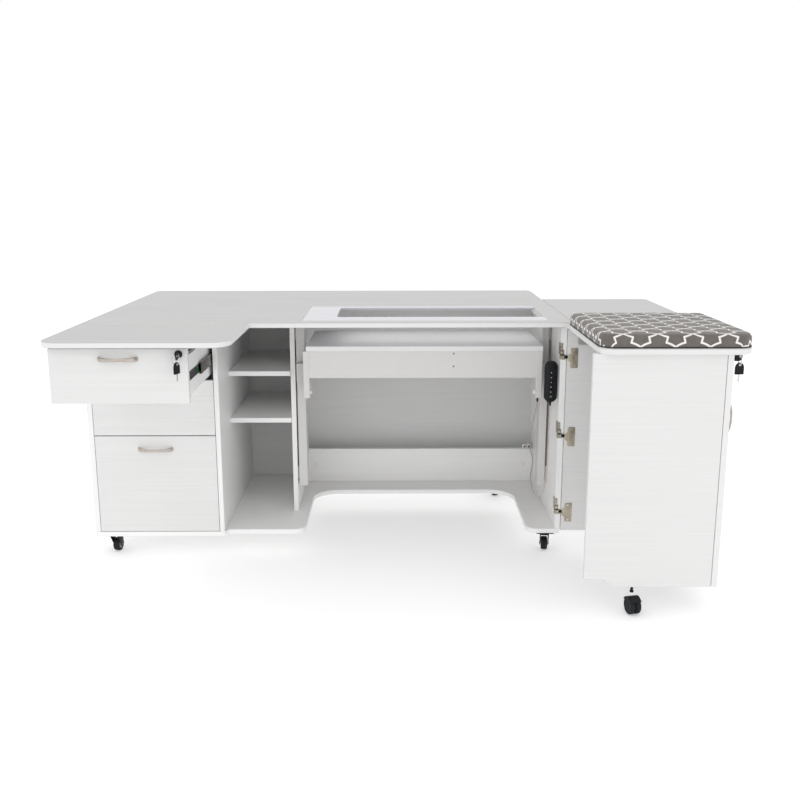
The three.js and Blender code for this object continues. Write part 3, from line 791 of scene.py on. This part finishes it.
def locks():
    lock_set("drawer", "top_drawer", (0, -1, 0), spare_turn=66)
    lock_set("door", "wing_side", (1, 0, 0), spare_turn=8)


locks()


# ---------------------------------------------------------------- hinges
def screw(piece, point, out, radius=3.2 * MM, look="bright_steel"):
    """A countersunk cross-head screw whose head stands a little proud."""
    rise = [(0, -0.4), (1, -0.4), (1, 0.15), (0.8, 0.55), (0.45, 0.7), (0.3, 0.25), (0, 0.2)]
    profile = [(radius * share, h * MM) for share, h in rise]
    piece.lathe(profile, looking(point, out), look, 20)


def flush_screw(piece, point, out, radius):
    """A screw head sunk level with its plate, with a shallow rim."""
    profile = [(0, -0.3), (1, -0.3), (1, 0.05), (0.8, 0.12), (0.3, 0.12), (0.25, -0.1), (0, -0.1)]
    rounds = [(r * radius, h * MM) for r, h in profile]
    piece.lathe(rounds, looking(point, out), "bright_steel", 20)


def hinge_flange(name):
    """The cup's flange on the door: two ears, a pressed dome and its screws."""
    low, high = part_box("hinge_cup_" + name)
    x0, x1, z = low.x, high.x, (low.z + high.z) / 2
    right = millimetres([(0, 32), (-1.5, 32)])
    left = millimetres([(12, 32), (9.5, 29), (9, 16), (5, 12), (0, 8)])
    upper = [(x1, z + 30.5 * MM), (x1 + right[1][0], z + right[1][1])]
    upper += [(x0 + x, z + h) for x, h in left]
    lower = [(x, 2 * z - h) for x, h in reversed(upper)]
    front = Matrix(((1, 0, 0, 0), (0, 0, -1, high.y), (0, 1, 0, 0), (0, 0, 0, 1)))
    cup = Piece("hinge_flange_" + name)
    cup.prism([*lower, *upper], front, high.y - low.y, "hinge_steel", 0.3 * MM)
    dome = [(0, -0.3), (11, -0.3), (11, 0.05), (10.2, 0.14), (8.6, 0.14)]
    dome += [(8, -0.1), (5.2, -0.1), (4.6, 0.12), (0, 0.14)]
    out = (0, -1, 0)
    cup.lathe(millimetres(dome), looking((x0 + 16 * MM, low.y, z), out), "hinge_steel", 32)
    for lift in (-25, 25):
        flush_screw(cup, (x1 - 13 * MM, low.y, z + lift * MM), out, 3.6 * MM)
    for lift in (-9, 0, 9):
        flush_screw(cup, (x1 - 3.5 * MM, low.y, z + lift * MM), out, 1.5 * MM)
    cup.finish("door", ["hinge_cup_" + name])


def hinge_arm(name):
    """The wrap-round mounting: plates over the end panel's front edge and round onto its inner
    face, with their screws, and the black pivot that reaches the door."""
    low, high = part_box("hinge_arm_" + name)
    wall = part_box("right_end_panel")[0].x
    z = sum(v.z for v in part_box("hinge_cup_" + name)) / 2
    near, far = low.y, low.y + 0.9 * MM
    arm = Piece("hinge_arm_body_" + name)

    def plate(x0, x1, y0, y1, z0, z1, look="hinge_steel", round=0.3):
        corner = (wall + x0 * MM, y0, z + z0 * MM)
        other = (wall + x1 * MM, y1, z + z1 * MM)
        arm.block(corner, other, look, round * MM)

    plate(-2, 6, near, far, 24, 49)
    plate(-3.2, 10, near, far, 8, 27)
    plate(-3.6, 15.5, near, far, -4, 13)
    plate(10.5, 21.5, near, far, -1, 9, "black_plastic")
    plate(-2.3, -0.3, near, far + 30 * MM, 10, 48)
    plate(-3.4, -0.3, near, far + 6 * MM, -3, 27, round=0.8)
    screw(arm, (wall - 2.3 * MM, far + 20 * MM, z + 38 * MM), (-1, 0, 0), 3.4 * MM)
    screw(arm, (wall - 2.3 * MM, far + 20 * MM, z + 19 * MM), (-1, 0, 0), 3.4 * MM)
    for across, lift in ((2, 41), (2, 30), (3, 18), (9, 4)):
        flush_screw(arm, (wall + across * MM, near, z + lift * MM), (0, -1, 0), 2.4 * MM)
    arm.finish("cabinet", ["hinge_arm_" + name])


for hinge_name in ("top", "middle", "bottom"):
    hinge_flange(hinge_name)
    hinge_arm(hinge_name)


# ---------------------------------------------------------------- drawer slides
SLIDE_HEIGHT = 42 * MM
SLIDE_LENGTH = 440 * MM
RAIL_SHEET = 1.1 * MM


def channel(piece, x_out, x_in, y0, y1, z, height, look):
    """A C-shaped rail: its web at x_out, with lips that turn in towards x_in."""
    web = RAIL_SHEET if x_in > x_out else -RAIL_SHEET
    half, lip = height / 2, 4.5 * MM
    inner = half - RAIL_SHEET
    turned = half - lip
    lower = [(x_out, -half), (x_in, -half), (x_in, -turned), (x_in - web, -turned)]
    lower += [(x_in - web, -inner), (x_out + web, -inner)]
    profile = [(x, z + h) for x, h in lower] + [(x, z - h) for x, h in reversed(lower)]
    rings = [[Vector((x, y, h)) for x, h in profile] for y in (y0, y1)]
    return piece.rings(rings, look)


def slides(drawer, z):
    """A cabinet rail and a drawer rail on both sides of a drawer."""
    box_low, box_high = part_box(drawer + "_drawer_box")
    cabinet_y = TOP_LOW.y + 18 * MM
    length = SLIDE_LENGTH
    walls = {
        "left": (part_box("left_end_panel")[1].x, box_low.x, 1),
        "right": (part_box("drawer_partition")[0].x, box_high.x, -1),
    }
    for side, (wall, box, way) in walls.items():
        rail = Piece(f"{drawer}_cabinet_rail_{side}")
        near = wall + way * 0.2 * MM
        far = near + way * 2.8 * MM
        end = cabinet_y + length
        channel(rail, near, far, cabinet_y, end, z, SLIDE_HEIGHT, "slide_steel")
        rail.finish("cabinet")
        moving = Piece(f"{drawer}_drawer_rail_{side}")
        flat = box - way * 0.2 * MM
        start = box_low.y + 4 * MM
        channel(moving, flat, flat - way * 2.3 * MM, start, start + length, z, 25 * MM, "slide_steel")
        for k in range(5):
            point = Vector((flat - way * 1.2 * MM, start + (30 + 92 * k) * MM, z))
            screw(moving, point, (-way, 0, 0), look="slide_inner")
        if drawer == "top":
            outline = millimetres([(-3, -10), (3, -12), (5, -4), (4, 8), (0, 13), (-4, 9), (-5, 0)])
            at = (flat - way * 1.5 * MM, start + 150 * MM, z)
            place = looking(at, (-way, 0, 0))
            moving.prism(outline, place, 0.9 * MM, "green_plastic", 0.3 * MM)
        moving.finish(drawer + "_drawer")


def middle_members():
    """The top drawer's middle members, with ball cages and a run of balls."""
    for side, way in (("left", 1), ("right", -1)):
        node = "top_slide_member_" + side
        low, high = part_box(node)
        outer = low.x if way > 0 else high.x
        inner = high.x if way > 0 else low.x
        z = (low.z + high.z) / 2
        piece = Piece(node + "_rail")
        channel(piece, outer, inner, low.y, high.y, z, high.z - low.z, "slide_inner")
        cage = (low.y + 12 * MM, high.y - 200 * MM)
        channel(piece, outer + way * 1.6 * MM, inner, *cage, z, 23 * MM, "slide_steel")
        for k in range(18):
            y = low.y + (30 + k * 10) * MM
            for half in (-1, 1):
                place = Matrix.Translation((inner - way * 2.6 * MM, y, z + half * 13.6 * MM))
                arc = [math.pi * i / 8 for i in range(9)]
                profile = [(2.0 * MM * math.sin(a), -2.0 * MM * math.cos(a)) for a in arc]
                piece.lathe(profile, place, "bright_steel", 12)
        piece.finish("top_slides", [node])


def all_slides():
    z = sum(v.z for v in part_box("top_slide_member_right")) / 2
    slides("top", z)
    slides("middle", 490 * MM)
    slides("bottom", 236 * MM)
    middle_members()


all_slides()


# ---------------------------------------------------------------- hand control
MARK_TOP = 38 * MM  # from the control's top to its first touch mark
MARK_PITCH = 15.6 * MM


def hand_control():
    """A slim shell with a glossy face and six round touch marks, the last with two bars."""
    low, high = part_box("remote_control")
    middle = (low + high) / 2
    width, depth, height = high - low
    place = Matrix.Translation((middle.x, high.y, middle.z)) @ Matrix(
        (Vector((1, 0, 0)), Vector((0, 0, 1)), Vector((0, -1, 0)))
    ).transposed().to_4x4()
    piece = Piece("hand_control_shell")
    outline = rounded_rectangle(width, height, width / 2 - 0.5 * MM, 14)
    piece.prism(outline, place, depth - 0.6 * MM, "black_plastic", 4.5 * MM, 6)
    face = shrink(outline, 5 * MM)
    front = place @ Matrix.Translation((0, 0, depth - 2 * MM))
    piece.prism(face, front, 2 * MM, "gloss_black", 0.5 * MM, 3)
    for k in range(6):
        z = high.z - MARK_TOP - k * MARK_PITCH - middle.z
        key = place @ Matrix.Translation((0, z, depth - 0.1 * MM))
        ring = circle(4.4 * MM, 24)
        seat = key @ Matrix.Translation((0, 0, -0.3 * MM))
        piece.prism(ring, seat, 0.45 * MM, "black_plastic", 0.15 * MM)
        if k < 5:
            dot = circle((1.5 if k != 2 else 1.1) * MM, 16)
            piece.prism(dot, key, 0.3 * MM, "mark_white", 0.1 * MM)
        else:
            for shift in (-1.6, 1.6):
                bar = rounded_rectangle(1.2 * MM, 4 * MM, 0.5 * MM, 4)
                aside = key @ Matrix.Translation((shift * MM, 0, 0))
                piece.prism(bar, aside, 0.3 * MM, "mark_white", 0.1 * MM)
    piece.finish("cabinet", ["remote_control"])


hand_control()


# ---------------------------------------------------------------- casters
def joint(name):
    return next(j for j in frame["joints"] if j["name"] == name)


PLATE_SIZE = (58 * MM, 38 * MM)
PLATE_THICK = 2.3 * MM
TWIN_HALF = 16.4 * MM


def mounting_plate(name, pivot, seat):
    """The plate that screws a cabinet caster to the base, with its four bolt heads."""
    under = seat - PLATE_THICK
    piece = Piece(name + "_caster_plate")
    outline = rounded_rectangle(*PLATE_SIZE, 5 * MM)
    place = Matrix.Translation((pivot.x, pivot.y, under))
    piece.prism(outline, place, PLATE_THICK, "black_plastic", 0.5 * MM)
    bolt = millimetres([(0, 0.3), (3.4, 0.3), (3.4, -0.5), (2.4, -1.4), (0, -1.6)])
    for sx in (-1, 1):
        for sy in (-1, 1):
            shift = Matrix.Translation((sx * 22 * MM, sy * 13.5 * MM, 0))
            piece.lathe(bolt, place @ shift, "bright_steel", 14)
    piece.finish("cabinet")


def caster(name):
    """A swivel caster: mounting plate with bolts, raceway, fork, tyre and side caps."""
    swivel = joint(name + "_caster_swivel")
    roll = joint(name + "_caster_roll")
    pivot = Vector(swivel["pos_m"])
    hub = Vector(roll["pos_m"])
    axle = Vector(roll["axis"]).normalized()
    fork_low, fork_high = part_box("caster_fork_" + name)
    wheel_low, wheel_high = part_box("caster_wheel_" + name)
    seat = fork_high.z
    radius = (wheel_high.z - wheel_low.z) / 2
    trail = Vector((hub.x - pivot.x, hub.y - pivot.y, 0)).normalized()
    along = Matrix((trail, axle, trail.cross(axle))).transposed().to_4x4()
    turned = Matrix.Translation((pivot.x, pivot.y, 0)) @ along
    if turned.to_3x3()[2][2] < 0:
        axle = -axle
        along = Matrix((trail, axle, trail.cross(axle))).transposed().to_4x4()
        turned = Matrix.Translation((pivot.x, pivot.y, 0)) @ along
    back = Vector((hub.x - pivot.x, hub.y - pivot.y, 0)).length
    body = name + "_caster"
    twin = name == "wing"
    if not twin:
        mounting_plate(name, pivot, seat)

    fork = Piece(name + "_caster_body")
    up = turned @ Matrix.Translation((0, 0, seat - 3 * MM))
    if twin:
        stem = [(0, 2.6), (4.2, 2.6), (4.2, -9), (5.6, -9.5), (5.6, -14), (0, -14)]
        fork.lathe(millimetres(stem), up, "black_plastic", 24)
        hood(fork, turned, back, hub.z, radius, seat)
    else:
        raceway = [(0, 1), (13, 1), (14.5, -1), (14.5, -3.4), (12.5, -4.6), (0, -4.6)]
        fork.lathe(millimetres(raceway), up, "black_plastic", 36)
        fork_arms(fork, turned, back, hub.z, seat)
    fork.finish(body, ["caster_fork_" + name])

    wheel = Piece(name + "_caster_tyre")
    spin = Matrix.Translation(hub) @ along @ Matrix.Rotation(math.radians(-90), 4, "X")
    half = 10.6 * MM
    if twin:
        for way in (-1, 1):
            inner, outer = 1.8 * MM, TWIN_HALF
            profile = [
                (0, inner),
                (radius * 0.9, inner),
                (radius, inner + 2 * MM),
                (radius, outer - 3 * MM),
                (radius - 2.2 * MM, outer - 0.7 * MM),
                (radius * 0.7, outer),
                (radius * 0.62, outer - 0.9 * MM),
                (radius * 0.3, outer - 0.5 * MM),
                (0, outer - 0.3 * MM),
            ]
            wheel.lathe([(r, way * h) for r, h in profile], spin, "caster_rubber", 44)
        hub_profile = millimetres([(0, -2.4), (3, -2.4), (3, 2.4), (0, 2.4)])
        wheel.lathe(hub_profile, spin, "caster_grey", 16)
    else:
        tread = [(radius * 0.62, 1.5), (radius - 3 * MM, 0.4), (radius - 0.9 * MM, 1.8), (radius, 4.5)]
        lower = [(0, -half + 1.5 * MM), *((r, -half + h * MM) for r, h in tread)]
        upper = [(r, -h) for r, h in reversed(lower)]
        wheel.lathe(lower + upper, spin, "caster_rubber", 44)
        # Each side cap's profile, as shares of the wheel's radius and millimetres past its side.
        cap = [(0, -1.6), (0.6, -1.6), (0.58, -0.4), (0.46, -0.1)]
        cap += [(0.42, -0.8), (0.22, -0.6), (0.2, 0.6), (0, 0.7)]
        for way in (-1, 1):
            profile = [(radius * share, (half + h * MM) * way) for share, h in cap]
            wheel.lathe(profile, spin, "caster_grey", 32)
    wheel.finish(body + "_wheel", ["caster_wheel_" + name])


def fork_arms(fork, turned, back, axle_z, seat):
    """Two pressed arms that come down from the raceway and carry the axle."""
    top = seat - 7.2 * MM
    drop = top - axle_z
    for way in (-1, 1):
        outline = [(-15 * MM, drop), (-14 * MM, drop - 4 * MM), (back - 9 * MM, 3 * MM)]
        for k in range(9):
            a = math.radians(200 + 140 * k / 8)
            outline.append((back + 8 * MM * math.cos(a), 8 * MM * math.sin(a)))
        outline += [(back + 9.5 * MM, drop - 8 * MM), (15 * MM, drop)]
        place = turned @ Matrix(
            ((1, 0, 0, 0), (0, 0, -1, way * 13.2 * MM + 0.9 * MM), (0, 1, 0, axle_z), (0, 0, 0, 1))
        )
        fork.prism(outline, place, 1.8 * MM, "black_plastic", 0.4 * MM)
        outward = Matrix.Rotation(math.radians(-90 * way), 4, "X")
        bolt = turned @ Matrix.Translation((back, way * 14 * MM, axle_z)) @ outward
        head = millimetres([(0, 0), (4.2, 0), (4.2, 1.2), (3.2, 2), (0, 2)])
        fork.lathe(head, bolt, "slide_inner", 6)
    crown = rounded_rectangle(31 * MM, 28.6 * MM, 4 * MM)
    seated = turned @ Matrix.Translation((0.5 * MM, 0, top - 1.6 * MM))
    fork.prism(crown, seated, 2.2 * MM, "black_plastic", 0.5 * MM)


def hood(fork, turned, back, axle_z, radius, seat):
    """The wing caster's hood: a slim curved cover between its two wheels."""
    outer = radius + 1.2 * MM
    outline = []
    for k in range(19):
        a = math.radians(-15 + 190 * k / 18)
        outline.append((back + outer * math.cos(a), outer * math.sin(a)))
    for k in range(19):
        a = math.radians(175 - 190 * k / 18)
        inner = radius * 0.35
        outline.append((back + inner * math.cos(a), inner * math.sin(a)))
    place = turned @ Matrix(((1, 0, 0, 0), (0, 0, -1, 1.3 * MM), (0, 1, 0, axle_z), (0, 0, 0, 1)))
    fork.prism(outline, place, 2.6 * MM, "black_plastic", 0.6 * MM)
    shell = []
    arc = [math.radians(38 + 118 * k / 20) for k in range(21)]
    wide = TWIN_HALF - 0.2 * MM
    for half, reach in ((wide, 0.6), (wide + 0.4 * MM, 1.6), (-wide - 0.4 * MM, 1.6), (-wide, 0.6)):
        r = radius + reach * MM
        shell.append([turned @ Vector((back + r * math.cos(a), half, axle_z + r * math.sin(a))) for a in arc])
    rings = [[row[i] for row in shell] for i in range(len(arc))]
    fork.rings(rings, "black_plastic")


for caster_name in ("front_left", "front_right", "rear_left", "rear_right", "wing"):
    caster(caster_name)


# ---------------------------------------------------------------- seam hinges
def knuckles(name, body, start, end, radius, look="bright_steel", knuckle=25 * MM):
    """A continuous hinge's barrel: short knuckles with a fine gap between them, on one pin."""
    start, end = Vector(start), Vector(end)
    length = (end - start).length
    place = looking(start, end - start, (0, 1, 0.01))
    count = max(2, round(length / knuckle))
    pitch = length / count
    groove = min(0.5 * MM, radius * 0.5)
    profile = [(0, 0)]
    for k in range(count):
        a, b = k * pitch, (k + 1) * pitch
        profile += [(radius * 0.7, a), (radius, a + groove / 2), (radius, b - groove / 2), (radius * 0.7, b)]
    profile.append((0, length))
    piece = Piece(name)
    piece.lathe(profile, place, look, 12)
    return piece.finish(body)


def seam_hinges():
    top = TOP_HIGH.z
    front_axis = Vector(joint("front_leaf_fold")["pos_m"])
    right_axis = Vector(joint("right_leaf_fold")["pos_m"])
    leaf_low, leaf_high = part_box("front_leaf")
    door_low, door_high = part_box("door_panel")
    side = Vector(joint("wing_side_fold")["pos_m"])
    front = Vector(joint("wing_front_fold")["pos_m"])
    inset = 45 * MM
    height = top - 0.3 * MM
    low, high = door_low.z + 40 * MM, door_high.z - 40 * MM
    x0, x1 = leaf_low.x + inset, leaf_high.x - inset
    y0, y1 = TOP_LOW.y + inset, TOP_HIGH.y - inset
    fy, rx = front_axis.y, right_axis.x
    knuckles("front_leaf_hinge", "cabinet", (x0, fy, height), (x1, fy, height), 1.0 * MM)
    knuckles("right_leaf_hinge", "cabinet", (rx, y0, height), (rx, y1, height), 1.0 * MM)
    for name, body, axis in (("wing_side", "door", side), ("wing_front", "wing_side", front)):
        start, end = (axis.x, axis.y, low), (axis.x, axis.y, high)
        knuckles(name + "_hinge", body, start, end, 1.1 * MM, knuckle=30 * MM)


seam_hinges()


# ---------------------------------------------------------------- small fittings
PIN_PROFILE = millimetres([(0, -6), (2.5, -6), (2.5, 0), (3.4, 0), (3.4, 1.2), (0, 1.2)])


def shelf_pins():
    """Four steel pins under each shelf."""
    for shelf in ("upper_shelf", "lower_shelf"):
        low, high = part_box(shelf)
        piece = Piece(shelf + "_pins")
        for x, way in ((low.x, -1), (high.x, 1)):
            for y in (low.y + 37 * MM, high.y - 60 * MM):
                point = Vector((x, y, low.z - 2.7 * MM))
                place = looking(point - Vector((way * 1.0 * MM, 0, 0)), (-way, 0, 0))
                piece.lathe(PIN_PROFILE, place, "bright_steel", 16)
        piece.finish("cabinet")


# How far the carriage's guide blocks stand out beyond the inner face of each cheek.
CHEEK_LEFT = 52 * MM
CHEEK_RIGHT = 58.5 * MM


def lift_fittings():
    """Screws on the lift's apron, and caps on its cheeks."""
    low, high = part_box("lift_carriage")
    apron = Piece("lift_apron_screws")
    face = low.y + 2 * MM
    for z in (0.66, 0.6186):
        screw(apron, Vector((ORIGIN.x + 0.1875, face, z)), (0, -1, 0), 3.0 * MM, "slide_inner")
    apron.finish("machine_lift")
    # White caps over the bolts at the foot of each cheek.
    inner = {"left": low.x + CHEEK_LEFT, "right": high.x - CHEEK_RIGHT}
    for (side, x), way in zip(inner.items(), (1, -1)):
        cap = Piece(side + "_cheek_cap")
        profile = millimetres([(0, -0.4), (7, -0.4), (7, 3.4), (6, 4.6), (0, 4.8)])
        place = looking((x, low.y + 26 * MM, low.z + 16 * MM), (way, 0, 0))
        cap.lathe(profile, place, "white_plastic", 28)
        cap.finish("machine_lift")


shelf_pins()
lift_fittings()


def stretcher_caps():
    """Screw caps near both ends of the rear stretcher."""
    low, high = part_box("rear_stretcher")
    piece = Piece("stretcher_cam_covers")
    for x in (low.x + 34 * MM, high.x - 34 * MM):
        place = looking((x, low.y, high.z - 60 * MM), (0, -1, 0))
        profile = millimetres([(0, -0.4), (7, -0.4), (7, 0.3), (6.2, 0.7), (0, 0.7)])
        piece.lathe(profile, place, "white_plastic", 28)
    piece.finish("cabinet")


stretcher_caps()


# ---------------------------------------------------------------- ironing pad
PAD_CROWN = 3.0 * MM
CROWN_SHARE = 0.25
CLOTH_SHIFT = 12 * MM  # from the pad's front to a row of crossings


def pad():
    """The padded ironing surface: foam under a tight cover, pulled in under its rim."""
    low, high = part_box("ironing_pad")
    bottom, height = low.z, high.z - low.z
    width, depth = high.x - low.x, high.y - low.y
    centre = Vector(((low.x + high.x) / 2, (low.y + high.y) / 2, 0))
    front_round, back_round = 45 * MM, 20 * MM
    corners = [(-1, -1, 180, front_round), (1, -1, 270, front_round)]
    corners += [(1, 1, 0, back_round), (-1, 1, 90, back_round)]
    steps, spans = 10, 40

    def outline(inset):
        """The plan pulled in by inset, or pushed out where inset is negative."""
        arcs = []
        for sx, sy, start, radius in corners:
            r = max(radius - inset, 3 * MM)
            cx = sx * (width / 2 - inset - r)
            cy = sy * (depth / 2 - inset - r)
            turn = [math.radians(start + 90 * k / steps) for k in range(steps + 1)]
            arcs.append([Vector((cx + r * math.cos(a), cy + r * math.sin(a), 0)) for a in turn])
        points = []
        for arc, following in zip(arcs, arcs[1:] + arcs[:1]):
            points += arc
            # Straight run to the next corner.
            points += [arc[-1].lerp(following[0], k / spans) for k in range(1, spans)]
        return points

    # The side's profile as (inset, height), from under the rim, up and over onto the top.
    profile = [(14, 0), (5, 0), (2.2, 1.2), (1.2, 4)]
    rise = height / MM
    for k in range(7):
        a = math.pi / 2 * k / 6
        profile.append((1.0 + 13 * (1 - math.cos(a)), rise - 16 + 13 * math.sin(a)))
    profile += [(22, rise - 2.2), (32, rise - 1.6), (44, rise - 1.1)]
    profile = millimetres(profile)
    bm = bmesh.new()
    layer = bm.verts.layers.float_vector.new("cloth_mm")
    # Length along the cover from the inner edge of the side's profile.
    lengths = [0.0]
    for (i0, h0), (i1, h1) in zip(profile[::-1], profile[::-1][1:]):
        lengths.append(lengths[-1] + math.hypot(i1 - i0, h1 - h0))
    lengths = lengths[::-1]
    inner_inset = profile[-1][0]
    node_u = 599.6 * MM + ORIGIN.x - centre.x

    def crown(p):
        x = min(1.0, abs(p.x) / (width / 2))
        y = min(1.0, abs(p.y) / (depth / 2))
        return PAD_CROWN * (1 - x**3) * (1 - y**3)

    def add_ring(points, z_of, unrolled):
        ring = []
        for p, q in zip(points, unrolled):
            v = bm.verts.new(centre + Vector((p.x, p.y, z_of(p))))
            v[layer] = ((q.x - node_u) / MM, (q.y + depth / 2 - CLOTH_SHIFT) / MM, 0)
            ring.append(v)
        return ring

    rings = []
    for (inset, z), run in zip(profile, lengths):
        share = z / height
        flat = outline(inner_inset - run)

        def side_z(p):
            return bottom + z + crown(p) * CROWN_SHARE * share

        rings.append(add_ring(outline(inset), side_z, flat))
    base = outline(inner_inset)
    fills = 22
    top_z = bottom + profile[-1][1]
    for k in range(1, fills):
        share = 1 - k / fills
        points = [p * share for p in base]
        rings.append(add_ring(points, lambda p: top_z + crown(p) * CROWN_SHARE, points))
    count = len(base)
    for low_ring, high_ring in zip(rings, rings[1:]):
        for i in range(count):
            j = (i + 1) % count
            bm.faces.new((low_ring[i], low_ring[j], high_ring[j], high_ring[i]))
    tip = bm.verts.new(centre + Vector((0, 0, top_z + crown(Vector()) * CROWN_SHARE)))
    tip[layer] = ((0 - node_u) / MM, (depth / 2 - CLOTH_SHIFT) / MM, 0)
    for i in range(count):
        bm.faces.new((rings[-1][i], rings[-1][(i + 1) % count], tip))
    foot = bm.verts.new(centre + Vector((0, 0, bottom)))
    foot[layer] = (0, 0, 0)
    for i in range(count):
        bm.faces.new((rings[0][(i + 1) % count], rings[0][i], foot))
    for v in bm.verts:
        # Slack in the cover: long shallow ripples, strongest on the sides.
        if v.co.z > bottom + 1 * MM:
            p = v.co * 9
            ripple = noise.noise(p) + 0.5 * noise.noise(p * 2.7)
            v.co.z += ripple * 0.5 * MM
    bmesh.ops.recalc_face_normals(bm, faces=bm.faces)
    mesh = bpy.data.meshes.new("ironing_pad_cover")
    bm.to_mesh(mesh)
    bm.free()
    mesh.materials.append(PAINT["pad_fabric"])
    mesh.shade_smooth()
    cover = bpy.data.objects.new("ironing_pad_cover", mesh)
    bpy.context.scene.collection.objects.link(cover)
    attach(cover, "ironing_board")
    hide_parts("ironing_pad")

    # The dark binding where the cover is tucked under.
    line = [centre + p + Vector((0, 0, bottom + 1.6 * MM)) for p in outline(1.4 * MM)]
    binding = Piece("ironing_pad_binding")
    binding.tube(line, 1.7 * MM, "pad_binding", 10, True)
    binding.finish("ironing_board")


pad()


# ---------------------------------------------------------------- room and light
def make_room():
    floor = bpy.data.meshes.new("floor")
    bm = bmesh.new()
    bmesh.ops.create_grid(bm, x_segments=1, y_segments=1, size=14)
    bm.to_mesh(floor)
    bm.free()
    n = Nodes("floor_white", Roughness=0.9, Emission_Color=(1, 1, 1, 1), Emission_Strength=0.3)
    n.colour(n.blend(n.span(n.noise(0.8), 0, 1), (0.81, 0.81, 0.81, 1), (0.82, 0.82, 0.82, 1)))
    floor.materials.append(n.material)
    plane = bpy.data.objects.new("floor", floor)
    plane.location.z = -0.2 * MM
    bpy.context.scene.collection.objects.link(plane)
    world = bpy.data.worlds.new("studio")
    world.use_nodes = True
    background = world.node_tree.nodes["Background"]
    background.inputs["Color"].default_value = (1, 1, 1, 1)
    background.inputs["Strength"].default_value = 1.0
    bpy.context.scene.world = world
    bpy.context.scene.view_settings.view_transform = "Standard"


def area_light(name, place, target, size, power):
    data = bpy.data.lights.new(name, "AREA")
    data.shape = "RECTANGLE"
    data.size, data.size_y = size
    data.energy = power
    light = bpy.data.objects.new(name, data)
    light.location = place
    light.rotation_euler = (Vector(target) - Vector(place)).to_track_quat("-Z", "Y").to_euler()
    bpy.context.scene.collection.objects.link(light)


make_room()
area_light("key", (-1.6, -4.2, 2.6), (0, 0, 0.5), (2.4, 1.8), 10)
area_light("fill", (2.4, -4.0, 1.8), (0.1, 0, 0.4), (2.0, 2.0), 4)
